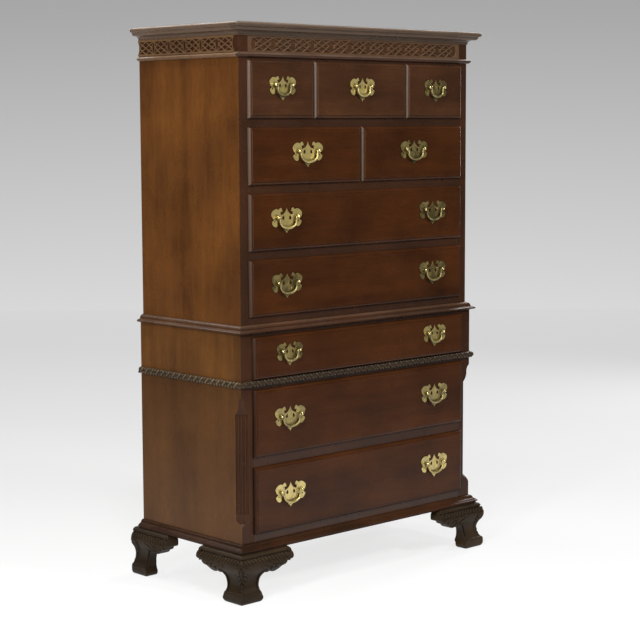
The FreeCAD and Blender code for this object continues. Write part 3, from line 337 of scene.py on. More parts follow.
def grain_group():
    """Wood grain: figure, fine fibre and open pores, drawn out along the axis where Stretch is smallest."""
    name = "Wood grain"
    if name in bpy.data.node_groups:
        return bpy.data.node_groups[name]
    tree, given, result = new_group(name, {"Vector": "Vector", "Stretch": "Vector"},
                                    {"Figure": "Float", "Fibre": "Float", "Pores": "Float"})
    stretched = maths("ShaderNodeVectorMath", "MULTIPLY", given.outputs["Vector"], given.outputs["Stretch"])
    wander = noise(stretched.outputs[0], *WANDER)
    bend = add_node(tree, "ShaderNodeVectorMath", operation="MULTIPLY_ADD")
    bend.inputs[1].default_value = (WANDER_REACH,) * 3
    link(wander.outputs["Color"], bend.inputs[0])
    link(stretched.outputs[0], bend.inputs[2])
    place = bend.outputs[0]
    figure = shared(layer(place, BROAD_FIGURE), layer(place, STRIPES), BROAD_SHARE)
    link(figure, result.inputs["Figure"])
    link(layer(place, FIBRE), result.inputs["Fibre"])
    link(layer(place, PORES), result.inputs["Pores"])
    return tree


def polish_group():
    """Old polish: worn edges and dust on upward faces, both partly painted highlight, and smears of wax in
    the roughness.
    """
    name = "Old polish"
    if name in bpy.data.node_groups:
        return bpy.data.node_groups[name]
    tree, given, result = new_group(
        name,
        {"Colour": "Color", "Worn": "Color", "Dust": "Color", "Vector": "Vector", "Edge": "Vector",
         "Normal": "Vector", "Dustiness": "Float", "Smooth": "Float", "Rough": "Float"},
        {"Colour": "Color", "Roughness": "Float"})
    place = given.outputs["Vector"]
    # Wear along edges, which also paints a highlight on them.
    wear_and_highlight = remap(dot(given.outputs["Edge"], given.outputs["Normal"]), *EDGE_TURN, 0, EDGE_WEAR_AND_HIGHLIGHT)
    edge = value_math("MULTIPLY", wear_and_highlight, layer(place, EDGE_PATCHES))
    worn_and_lit = mix_colours(tree, edge, given.outputs["Colour"], given.outputs["Worn"])
    parts = tree.nodes.new("ShaderNodeSeparateXYZ")
    link(given.outputs["Normal"], parts.inputs[0])
    # Dust on upward faces, which also paints a highlight on them.
    upward = remap(parts.outputs["Z"], *DUST_AND_HIGHLIGHT_SLOPES, 0, 1)
    dust_and_highlight_film = value_math("MULTIPLY", upward, layer(place, DUST_FILM, THIN_FILM, 1))
    dust_and_highlight_share = value_math("MULTIPLY", dust_and_highlight_film, given.outputs["Dustiness"])
    link(mix_colours(tree, dust_and_highlight_share, worn_and_lit, given.outputs["Dust"]), result.inputs["Colour"])
    span = value_math("SUBTRACT", given.outputs["Rough"], given.outputs["Smooth"])
    smears = value_math("MULTIPLY", span, layer(place, WAX_SMEARS))
    wax = value_math("ADD", given.outputs["Smooth"], smears)
    powder = value_math("MULTIPLY", dust_and_highlight_share, DUST_ROUGHNESS)
    link(value_math("ADD", wax, powder), result.inputs["Roughness"])
    return tree


def wood(name, dark, light, stretch, rough=(0.2, 0.36), shine=0.3, soft_edge=0.9, dust=0.0, dirt_and_shade=0.0,
         zones=(), lit_lips=None):
    """Polished wood with its grain along the axis where stretch is smallest.

    A zone gives other colours past a level on one axis: axis, side of the level, level, dark, light.
    Lips give the rounded ends of drawer fronts a painted highlight on the upper drawers and painted shade on
    the lower ones.
    """
    material, tree, shader, place = new_material(name)
    grain = add_node(tree, "ShaderNodeGroup", node_tree=grain_group(), Stretch=stretch)
    link(place, grain.inputs["Vector"])
    figure = shared(grain.outputs["Figure"], layer(place, CLOUDS), GRAIN_SHARE)
    colour = mix_colours(tree, figure, dark, light)
    axes = tree.nodes.new("ShaderNodeSeparateXYZ")
    link(place, axes.inputs[0])
    for axis, side, level, zone_dark, zone_light in zones:
        inside = value_math(side, axes.outputs[axis], level)
        colour = mix_colours(tree, inside, colour, mix_colours(tree, figure, zone_dark, zone_light))
    shade = add_node(tree, "ShaderNodeCombineColor")
    fibre_shade = remap(grain.outputs["Fibre"], 0, 1, *FIBRE_SHADE)
    for channel in ("Red", "Green", "Blue"):
        link(fibre_shade, shade.inputs[channel])
    colour = mix_colours(tree, 1.0, colour, shade.outputs[0], "MULTIPLY")
    pores = value_math("MULTIPLY", grain.outputs["Pores"], PORE_STRENGTH)
    colour = mix_colours(tree, pores, colour, scaled(dark, PORE_TONE))
    # Dirt and painted shade in the hollows and gaps of the wood.
    if dirt_and_shade:
        dirt_and_shade_share = dirt_and_shade_in_hollows(tree, WOOD_HOLLOWS, dirt_and_shade)
        colour = mix_colours(tree, dirt_and_shade_share, colour, scaled(dark, DIRT_AND_SHADE_TONE))
    surface = tree.nodes.new("ShaderNodeNewGeometry")
    # Painted light on the sideways-facing ends of drawer fronts: a highlight on the upper drawers, shade on
    # the lower ones.
    if lit_lips is not None:
        facing = tree.nodes.new("ShaderNodeSeparateXYZ")
        link(surface.outputs["Normal"], facing.inputs[0])
        sideways = value_math("ABSOLUTE", facing.outputs["X"], 0)
        painted_lip_light = mix_colours(tree, remap(axes.outputs["Z"], *LIP_LEVELS, 0, 1), dark, lit_lips)
        colour = mix_colours(tree, remap(sideways, *LIP_TURNS, 0, LIP_STRENGTH), colour, painted_lip_light)
    edge = add_node(tree, "ShaderNodeBevel", samples=EDGE_SAMPLES, Radius=soft_edge * MM)
    # Worn edges and dust, both partly painted highlight.
    polish = add_node(tree, "ShaderNodeGroup", node_tree=polish_group(), Dustiness=dust, Smooth=rough[0],
                      Rough=rough[1], Worn=(*scaled(light, WORN_AND_LIT_TONE), 1),
                      Dust=(*bpy.context.scene.chest_finishes.dust, 1))
    link(colour, polish.inputs["Colour"])
    link(place, polish.inputs["Vector"])
    link(edge.outputs[0], polish.inputs["Edge"])
    link(surface.outputs["Normal"], polish.inputs["Normal"])
    link(polish.outputs["Colour"], shader.inputs["Base Color"])
    link(polish.outputs["Roughness"], shader.inputs["Roughness"])
    shader.inputs["Specular IOR Level"].default_value = shine
    bump = add_node(tree, "ShaderNodeBump", Strength=PORE_BUMP, Distance=BUMP_DEPTH, invert=True)
    link(grain.outputs["Pores"], bump.inputs["Height"])
    link(edge.outputs[0], bump.inputs["Normal"])
    link(bump.outputs[0], shader.inputs["Normal"])
    return material


def brass(name, bright, dull, tarnish, rough=(0.44, 0.5)):
    """Old cast brass: bright where it is rubbed, dull green-brown in patches that grow with tarnish."""
    material, tree, shader, place = new_material(name)
    patches = layer(place, TARNISH_PATCHES, tarnish - TARNISH_SWING, tarnish + TARNISH_SWING)
    dullness = value_math("ADD", patches, layer(place, TARNISH_SPOTS, 0, SPOT_STRENGTH))
    dullness = value_math("MAXIMUM", value_math("MINIMUM", dullness, 1), 0)
    colour = mix_colours(tree, dullness, bright, dull)
    # Dirt and painted shade in the hollows of the brass.
    dirt_and_shade_share = dirt_and_shade_in_hollows(tree, BRASS_HOLLOWS, BRASS_DIRT_AND_SHADE)
    colour = mix_colours(tree, dirt_and_shade_share, colour, scaled(dull, DIRT_AND_SHADE_TONE))
    link(colour, shader.inputs["Base Color"])
    link(remap(dullness, 0, 1, *rough), shader.inputs["Roughness"])
    shader.inputs["Metallic"].default_value = 1
    shader.inputs["Coat Weight"].default_value = 1
    shader.inputs["Coat Roughness"].default_value = COAT_ROUGHNESS
    bump = add_node(tree, "ShaderNodeBump", Strength=CAST_BUMP, Distance=BUMP_DEPTH)
    link(noise(place, *CAST_SKIN).outputs["Fac"], bump.inputs["Height"])
    link(bump.outputs[0], shader.inputs["Normal"])
    return material


# Mesh helpers

# Faces round a carved lobe, and rows of them.
CARVED_MESH = (8, 6)


def dress(node, material):
    """Give a CAD node a finish."""
    slots = frame["nodes"][node].data.materials
    slots.clear()
    slots.append(material)


def new_piece(name, bm, material, body):
    """A finished mesh that rides on a body."""
    mesh = bpy.data.meshes.new(name)
    bm.to_mesh(mesh)
    bm.free()
    mesh.materials.append(material)
    piece = bpy.data.objects.new(name, mesh)
    bpy.context.scene.collection.objects.link(piece)
    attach(piece, body)
    return piece


def shade_smooth(bm):
    """Smooth shading on every face."""
    for face in bm.faces:
        face.smooth = True


def add_ball(bm, shape, around, rows):
    """A ball of radius one, placed and stretched by a matrix."""
    return bmesh.ops.create_uvsphere(bm, u_segments=around, v_segments=rows, radius=1, matrix=shape)["verts"]


def add_lobe(bm, centre, along, outward, size):
    """A rounded lobe: half length along a direction, half width across it, and half depth outwards."""
    along = (along - outward * along.dot(outward)).normalized()
    across = outward.cross(along)
    axes = Matrix((along, across, outward)).transposed().to_4x4()
    add_ball(bm, Matrix.Translation(centre) @ axes @ Matrix.Diagonal((*size, 1)), *CARVED_MESH)


# Operators

class CHEST_OT_case_woods(bpy.types.Operator):
    """Polished wood on the two cases, bare wood inside"""
    bl_idname = "chest.case_woods"
    bl_label = "Case woods"

    # Grain: how fast it changes along each axis.
    SIDE_GRAIN = (9, 9, 0.7)
    POST_GRAIN = (14, 14, 0.9)
    RAIL_GRAIN = (0.9, 14, 14)
    MOULDING_GRAIN = (1.6, 1.6, 16)
    CARVED_GRAIN = (3, 3, 12)
    BACK_GRAIN = (0.8, 12, 12)
    RUNNER_GRAIN = (12, 0.8, 12)
    # Unpolished oak.
    BARE = {"rough": (0.6, 0.78), "shine": 0.15, "soft_edge": 0.5}
    # Painted shade: the front of the cornice is darker than its returns.
    CORNICE_FRONT_SHADE = 0.66

    def execute(self, context):
        tones = context.scene.chest_finishes
        upper_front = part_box("upper_sides")[0].y + SKIN
        lower_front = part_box("corner_posts")[0].y + SKIN
        outer_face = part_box("lower_sides")[1].x - SKIN
        fret_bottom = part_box("fret_frieze")[0].z
        carving_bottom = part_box("carved_moulding")[0].z
        stile = ("Y", "LESS_THAN", upper_front, *pair("frame"))
        # Painted shade on the side boards behind the side fret.
        shaded_frieze = ("Z", "GREATER_THAN", fret_bottom, *pair("frame"))
        # Painted shade on the ground behind the front fret.
        shaded_ground = ("Z", "GREATER_THAN", fret_bottom, *pair("shaded_ground"))
        band = ("Z", "GREATER_THAN", carving_bottom, *pair("band"))
        right_cheek = ("X", "GREATER_THAN", outer_face, *pair("lower_side"))
        left_cheek = ("X", "LESS_THAN", -outer_face, *pair("lower_side"))
        # Painted shade on the front of the cornice, which gets less light than its side.
        shaded_front_tones = (scaled(tone, self.CORNICE_FRONT_SHADE) for tone in pair("cornice"))
        shaded_cornice_front = ("Y", "LESS_THAN", upper_front, *shaded_front_tones)
        # Painted shade: the fronts of the fret, the waist moulding and the carved moulding are darker than
        # their returns, which get more light.
        shaded_fret_front = ("Y", "LESS_THAN", upper_front, tones.cornice_dark, tones.fret_dark)
        shaded_waist_front = ("Y", "LESS_THAN", lower_front, *pair("frame"))
        shaded_lobe_front = ("Y", "LESS_THAN", lower_front, *pair("carved"))
        along, carved = self.MOULDING_GRAIN, self.CARVED_GRAIN
        rail = wood("Rail mahogany", *pair("frame"), self.RAIL_GRAIN, zones=(shaded_ground,))
        finishes = {
            "upper_sides": wood("Upper side mahogany", *pair("upper_side"), self.SIDE_GRAIN, shine=0.24,
                                zones=(shaded_frieze, stile)),
            "lower_sides": wood("Lower side mahogany", *pair("lower_side"), self.SIDE_GRAIN, shine=0.15,
                                zones=(band,)),
            "corner_posts": wood("Post mahogany", *pair("frame"), self.POST_GRAIN, shine=0.15,
                                 zones=(right_cheek, left_cheek)),
            "upper_rails": rail,
            "lower_rails": rail,
            # The cornice's dust also paints a highlight along its upward edges.
            "cornice": wood("Cornice mahogany", *pair("cornice"), along, shine=0.4, soft_edge=3, dust=0.65,
                            zones=(shaded_cornice_front,)),
            "frieze_bead": wood("Bead mahogany", *pair("fret"), along, dust=0.3, zones=(stile,)),
            "fret_frieze": wood("Fret mahogany", *pair("fret"), along, soft_edge=0.5, dust=0.3,
                                zones=(shaded_fret_front,)),
            "waist_moulding": wood("Waist mahogany", *pair("moulding"), along, shine=0.12, dust=0.1,
                                   zones=(shaded_waist_front,)),
            "base_moulding": wood("Base mahogany", tones.carved_dark, tones.frame_light, along, shine=0.1),
            # Dirt and painted shade in the hollows of the carving.
            "carved_moulding": wood("Core mahogany", tones.lobe_dark, tones.carved_light, carved,
                                    shine=0.15, dirt_and_shade=0.8),
            "bracket_feet": wood("Carved mahogany", *pair("carved"), carved, rough=(0.36, 0.5), shine=0.12,
                                 soft_edge=2, dirt_and_shade=0.85),
            "case_boards": wood("Top mahogany", *pair("moulding"), self.RAIL_GRAIN, dust=0.45),
            "back_boards": wood("Bare oak", *pair("lining"), self.BACK_GRAIN, **self.BARE),
            "drawer_runners": wood("Runner oak", *pair("lining"), self.RUNNER_GRAIN, **self.BARE),
        }
        for node, material in finishes.items():
            dress(node, material)
        wood("Lobed mahogany", *pair("lobe"), carved, dust=0.15, dirt_and_shade=0.9, zones=(shaded_lobe_front,))
        return {"FINISHED"}


class CHEST_OT_drawer_woods(bpy.types.Operator):
    """Figured fronts and oak boxes on the ten drawers, dovetailed at the front corners"""
    bl_idname = "chest.drawer_woods"
    bl_label = "Drawer woods"

    FRONT_GRAIN = (0.8, 9, 9)
    # Dovetails: length and rise in millimetres, spacing and neck in heights of a tail, flare of its end.
    TAIL_LENGTH = 11
    TAIL_RISE = 0.3
    TAIL_SPACING = 1.4
    TAIL_NECK = 0.8
    TAIL_FLARE = 1.3

    def execute(self, context):
        tail_height = context.scene.chest_carving.tail_height
        # Painted sheen on the top row of drawer fronts.
        sheen_top_row = ("Z", "GREATER_THAN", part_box("first_left_front")[0].z, *pair("sheen_top_row"))
        front = wood("Front mahogany", *pair("front"), self.FRONT_GRAIN, rough=(0.16, 0.3), shine=0.16,
                     soft_edge=2, dirt_and_shade=0.7, zones=(sheen_top_row,), lit_lips=context.scene.chest_finishes.lip_highlight)
        oak = bpy.data.materials["Runner oak"]
        for name in DRAWERS:
            dress(f"{name}_front", front)
            dress(f"{name}_box", oak)
            self.dovetails(name, oak, tail_height)
        return {"FINISHED"}

    def dovetails(self, name, oak, tail_height):
        """The ends of the drawer sides, let into the back of the front."""
        low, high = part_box(f"{name}_box")
        length = self.TAIL_LENGTH * MM
        rise = self.TAIL_RISE * MM
        count = max(2, round((high.z - low.z) / (self.TAIL_SPACING * tail_height)))
        pitch = (high.z - low.z) / count
        stretch = Matrix.Diagonal((2 * rise, length, tail_height * self.TAIL_NECK, 1))
        widen = Matrix.Diagonal((1, 1, self.TAIL_FLARE, 1))
        bm = bmesh.new()
        for x in (low.x, high.x):
            for index in range(count):
                centre = Vector((x, low.y - length / 2, low.z + pitch * (index + 0.5)))
                there, back = Matrix.Translation(centre), Matrix.Translation(-centre)
                tail = bmesh.ops.create_cube(bm, size=1, matrix=there @ stretch)["verts"]
                wide = [vert for vert in tail if vert.co.y < centre.y]
                bmesh.ops.transform(bm, matrix=there @ widen @ back, verts=wide)
        new_piece(f"{name}_dovetails", bm, oak, f"{name}_drawer")


class CHEST_OT_brasses(bpy.types.Operator):
    """Bevelled plates and polished bails"""
    bl_idname = "chest.brasses"
    bl_label = "Brasses"

    # Share of tarnish in each state of polish. The bails are a step duller than their plates.
    TARNISH = {"bright": 0.05, "fair": 0.4, "dull": 0.75}
    DULLER = {"bright": "fair", "fair": "dull", "dull": "dull"}
    # State of the left and right pull of each drawer: tarnish, and partly a painted reflection of how much
    # light each plate mirrors.
    POLISH = {
        "first_left": ("fair", "fair"), "first_middle": ("bright", "bright"), "first_right": ("dull", "dull"),
        "second_left": ("bright", "bright"), "second_right": ("dull", "dull"), "third": ("bright", "dull"),
        "fourth": ("dull", "dull"), "fifth": ("dull", "fair"), "sixth": ("fair", "fair"),
        "seventh": ("bright", "bright"),
    }
    # The heads of the posts are bright: their depth in millimetres and their smoother metal.
    HEAD_DEPTH = 7
    HEAD_ROUGHNESS = (0.2, 0.3)
    # Edges sharper than this many degrees are bevelled, after points this close in metres are joined.
    SHARP_ANGLE = 50
    WELD = 1e-6

    def execute(self, context):
        tones = context.scene.chest_finishes
        colours = (tones.brass_bright, tones.brass_dull)
        sizes = context.scene.chest_carving
        metals = {state: brass(f"Old brass {state}", *colours, tarnish)
                  for state, tarnish in self.TARNISH.items()}
        head = brass("Old brass heads", *colours, self.TARNISH["bright"], self.HEAD_ROUGHNESS)
        for name in DRAWERS:
            left, right = self.POLISH[name]
            finishes = (metals[left], metals[right], head)
            self.bevelled(f"{name}_brasses", f"{name}_drawer", finishes, sizes.plate_bevel)
            for suffix, state in (("", left), ("_left", left), ("_right", right)):
                if f"{name}_bail{suffix}" in frame["nodes"]:
                    dress(f"{name}_bail{suffix}", metals[self.DULLER[state]])
        return {"FINISHED"}

    def bevelled(self, node, body, finishes, width):
        """A copy of a node's brasses with their sharp edges taken off."""
        bm = bmesh.new()
        bm.from_mesh(frame["nodes"][node].data)
        bmesh.ops.remove_doubles(bm, verts=bm.verts, dist=self.WELD)
        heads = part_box(node)[0].y + self.HEAD_DEPTH * MM
        for face in bm.faces:
            centre = face.calc_center_median()
            on_right = int(centre.x > 0)
            face.material_index = len(finishes) - 1 if centre.y < heads else on_right
        piece = new_piece(f"{node}_bevelled", bm, finishes[0], body)
        for finish in finishes[1:]:
            piece.data.materials.append(finish)
        bevel = piece.modifiers.new("Bevel", "BEVEL")
        bevel.width = width
        bevel.segments = 2
        bevel.limit_method = "ANGLE"
        bevel.angle_limit = math.radians(self.SHARP_ANGLE)
        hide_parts(node)


class CHEST_OT_carved_moulding(bpy.types.Operator):
    """Leaning lobes and beads along the carved moulding of the lower case"""
    bl_idname = "chest.carved_moulding"
    bl_label = "Carved moulding"

    # Foot of the half-round core, as a share of its projection.
    CORE_FOOT = 0.2
    # Half sizes of lobes and beads: lengths in heights of the moulding, widths in pitches, depths in rises.
    LOBE_LENGTH = 0.62
    LOBE_WIDTH = 0.21
    LOBE_DEPTH = 2
    BEAD_WIDTH = 0.15
    BEAD_DEPTH = 1.6
    # Beads from the middle of the moulding, in its heights.
    BEAD_PLACES = (-0.34, 0.34)
    # Faces round a lobe or a bead, and rows of them.
    LOBE_MESH = (8, 7)
    BEAD_MESH = (7, 5)

    def execute(self, context):
        sizes = context.scene.chest_carving
        low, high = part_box("carved_moulding")
        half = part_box("lower_sides")[1].x
        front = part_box("corner_posts")[0].y
        out = high.x - half
        middle = (low.z + high.z) / 2
        height = high.z - low.z
        bm = bmesh.new()
        left, right = Vector((-half, front, middle)), Vector((half, front, middle))
        self.run(bm, left, right, Vector((0, -1, 0)), sizes, out, height)
        for side, corner in ((-1, left), (1, right)):
            end = Vector((corner.x, high.y, middle))
            self.run(bm, corner, end, Vector((side, 0, 0)), sizes, out, height)
        shade_smooth(bm)
        new_piece("carved_moulding_lobes", bm, bpy.data.materials["Lobed mahogany"], "case")
        return {"FINISHED"}

    def run(self, bm, start, end, outward, sizes, out, height):
        """A row of lobes and beads from start to end, wrapped over the half-round core."""
        length = (end - start).length
        along = (end - start).normalized()
        count = round(length / sizes.lobe_pitch)
        pitch = length / count
        foot = out * self.CORE_FOOT
        slope = -math.tan(sizes.lobe_lean)

        def wrap(verts):
            for vert in verts:
                run, round_way, rise = vert.co
                angle = 2 * round_way / height
                reach = (out - foot + rise) * math.cos(angle) + foot
                lift = (height / 2 + rise) * math.sin(angle)
                past = min(run + slope * round_way, length)
                vert.co = start + along * past + outward * reach + Vector((0, 0, lift))

        bead_width = pitch * self.BEAD_WIDTH
        lobe = Matrix.Diagonal((pitch * self.LOBE_WIDTH, height * self.LOBE_LENGTH,
                                self.LOBE_DEPTH * sizes.lobe_rise, 1))
        bead = Matrix.Diagonal((bead_width, bead_width, self.BEAD_DEPTH * sizes.lobe_rise, 1))
        for index in range(count):
            place = pitch * (index + 0.5)
            wrap(add_ball(bm, Matrix.Translation((place, 0, 0)) @ lobe, *self.LOBE_MESH))
            for level in self.BEAD_PLACES:
                between = Matrix.Translation((place + pitch / 2, level * height, 0))
                wrap(add_ball(bm, between @ bead, *self.BEAD_MESH))


class CHEST_OT_carved_feet(bpy.types.Operator):
    """Gadroons, leaves and rolled edges on the bracket feet"""
    bl_idname = "chest.carved_feet"
    bl_label = "Carved feet"

    # Roll along the scalloped edge, from the tip to the toe: shares of the foot's length and height.
    RIM = ((0.88, 0.95), (0.96, 0.88), (0.94, 0.8), (0.84, 0.775), (0.75, 0.7), (0.7, 0.675), (0.5, 0.625),
           (0.36, 0.62), (0.27, 0.52), (0.215, 0.3), (0.22, 0.22))
    # Leaves beside the corner: height, half length and half width in millimetres, and lean in degrees.
    KNEE_LEAVES = ((103, 17, 5.2, 64), (94, 19, 5.6, 54), (83, 19, 5.4, 44), (71, 17, 5, 34),
                   (59, 14, 4.4, 26), (48, 11, 3.6, 18), (39, 8, 2.8, 10))
    # Leaves along the bracket: share of its length, height, half length, half width and lean.
    ARM_LEAVES = ((0.32, 97, 13, 4.6, 58), (0.41, 91, 12, 4.4, 48), (0.42, 104, 13, 4.4, 72),
                  (0.51, 97, 12, 4.4, 58), (0.53, 87, 10, 3.8, 40), (0.58, 105, 12, 4, 76),
                  (0.63, 94, 11, 4, 56), (0.7, 102, 10, 3.8, 68), (0.75, 96, 8, 3.4, 52),
                  (0.81, 106, 9, 3.4, 76), (0.88, 103, 6, 3, 62))
    # A leaf's middle is this share of its sideways reach from the corner.
    KNEE_INSET = 0.9
    # No carving where the cosine of the face's turn is less than this.
    LEAST_FACING = 0.2
    # Gadroons: level and half sizes in millimetres, lean in degrees, and the share of a face that they cover.
    GADROON_LEVEL = 118
    GADROON_SIZE = (10, 4.8, 2.4)
    GADROON_LEAN = 28
    GADROON_SHARE = 0.9
    # Faces, in metres from the corner: scalloped length, where that starts, and the first gadroon.
    FRONT_FACE = (0.161, 0, -0.027)
    REAR_FACE = (0.14, 0.027, 0.009)
    # Arris at the corner in metres: its place on a rear face, and the search for it on a front one.
    REAR_ARRIS = 0.002
    ARRIS_START = -0.045
    ARRIS_STEP = 0.002
    # A face is looked for from this far in front of the case, in metres.
    LOOK_FROM = 0.12

    def execute(self, context):
        sizes = context.scene.chest_carving
        source = bmesh.new()
        source.from_mesh(frame["nodes"]["bracket_feet"].data)
        self.surface = BVHTree.FromBMesh(source)
        source.free()
        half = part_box("lower_sides")[1].x
        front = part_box("corner_posts")[0].y
        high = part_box("bracket_feet")[1]
        self.height = high.z
        ahead, inward = Vector((0, -1, 0)), Vector((0, 1, 0))
        bm = bmesh.new()
        for side in (-1, 1):
            across = Vector((-side, 0, 0))
            outward = Vector((side, 0, 0))
            corner = Vector((side * half, front, 0))
            back = Vector((side * half, high.y, 0))
            self.face(bm, corner, across, ahead, self.FRONT_FACE, sizes)
            self.face(bm, corner, inward, outward, self.FRONT_FACE, sizes)
            self.face(bm, back, ahead, outward, self.REAR_FACE, sizes)
        shade_smooth(bm)
        new_piece("carved_feet", bm, bpy.data.materials["Carved mahogany"], "case")
        return {"FINISHED"}

    def face(self, bm, corner, along, outward, extent, sizes):
        """The carving of one face of a foot, which runs along from its corner."""
        up = Vector((0, 0, 1))
        length, shift, distance = extent

        def on_face(distance, level):
            start = corner + along * distance + up * level + outward * self.LOOK_FROM
            place, normal, _, _ = self.surface.ray_cast(start, -outward)
            return place, normal

        def leaf(distance, level, size, lean):
            place, normal = on_face(distance, level)
            if place is None or normal.dot(outward) < self.LEAST_FACING:
                return
            direction = along * math.sin(math.radians(lean)) - up * math.cos(math.radians(lean))
            add_lobe(bm, place, direction, normal, size)

        gadroon = tuple(part * MM for part in self.GADROON_SIZE)
        while distance < length * self.GADROON_SHARE + shift:
            leaf(distance, self.GADROON_LEVEL * MM, gadroon, self.GADROON_LEAN)
            distance += sizes.gadroon_pitch
        for level, half_length, half_width, lean in self.KNEE_LEAVES:
            edge = self.arris(on_face, level * MM, shift)
            reach = edge + half_length * MM * math.sin(math.radians(lean)) * self.KNEE_INSET
            leaf(reach, level * MM, (half_length * MM, half_width * MM, sizes.leaf_rise), lean)
        for share, level, half_length, half_width, lean in self.ARM_LEAVES:
            size = (half_length * MM, half_width * MM, sizes.leaf_rise)
            leaf(shift + share * length, level * MM, size, lean)
        self.rim(bm, on_face, length, shift, sizes.rim_radius)

    def arris(self, on_face, level, shift):
        """How far past the corner the face reaches at a level."""
        if shift:
            return self.REAR_ARRIS
        distance = self.ARRIS_START
        while on_face(distance, level)[0] is None:
            distance += self.ARRIS_STEP
        return distance

    def rim(self, bm, on_face, length, shift, radius):
        """A roll along the scalloped edge."""
        guide = bpy.data.curves.new("rim", "CURVE")
        guide.dimensions = "3D"
        guide.bevel_depth = radius
        guide.bevel_resolution = 2
        guide.resolution_u = 6
        guide.use_fill_caps = True
        found = (on_face(shift + share * length, rise * self.height)[0] for share, rise in self.RIM)
        places = [place for place in found if place is not None]
        spline = guide.splines.new("NURBS")
        spline.points.add(len(places) - 1)
        for point, place in zip(spline.points, places):
            point.co = (*place, 1)
        spline.order_u = 3
        spline.use_endpoint_u = True
        holder = bpy.data.objects.new("rim", guide)
        tube = bpy.data.meshes.new_from_object(holder)
        bm.from_mesh(tube)
        bpy.data.objects.remove(holder)
        bpy.data.meshes.remove(tube)
        bpy.data.curves.remove(guide)


class CHEST_OT_back_nails(bpy.types.Operator):
    """Nails that hold the back boards"""
    bl_idname = "chest.back_nails"
    bl_label = "Back nails"

    # Nail heads, and how far they are from the ends and edges of a board, in millimetres.
    HEAD_RADIUS = 2.6
    HEAD_RISE = 0.9
    END_INSET = 24
    EDGE_INSET = 36
    IRON = linear(58, 54, 50)
    RUST = linear(92, 58, 38)
    # Roughness and metal of clean iron, then of rust.
    ROUGHNESS = (0.5, 0.85)
    METAL = (0.9, 0.2)

    def execute(self, context):
        low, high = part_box("back_boards")
        levels = sorted({round(vert.co.z, 4) for vert in frame["nodes"]["back_boards"].data.vertices})
        end, edge = self.END_INSET * MM, self.EDGE_INSET * MM
        size = (self.HEAD_RADIUS * MM, self.HEAD_RADIUS * MM, self.HEAD_RISE * MM)
        bm = bmesh.new()
        for bottom, top in zip(levels, levels[1:]):
            for x in (low.x + end, high.x - end):
                for z in (bottom + edge, (bottom + top) / 2, top - edge):
                    add_lobe(bm, Vector((x, high.y, z)), Vector((1, 0, 0)), Vector((0, 1, 0)), size)
        shade_smooth(bm)
        new_piece("back_nails", bm, self.iron(), "case")
        return {"FINISHED"}

    def iron(self):
        """Dark old iron with specks of rust."""
        material, tree, shader, place = new_material("Nail iron")
        rust = layer(place, RUST_SPECKS)
        link(mix_colours(tree, rust, self.IRON, self.RUST), shader.inputs["Base Color"])
        link(remap(rust, 0, 1, *self.ROUGHNESS), shader.inputs["Roughness"])
        link(remap(rust, 0, 1, *self.METAL), shader.inputs["Metallic"])
        return material


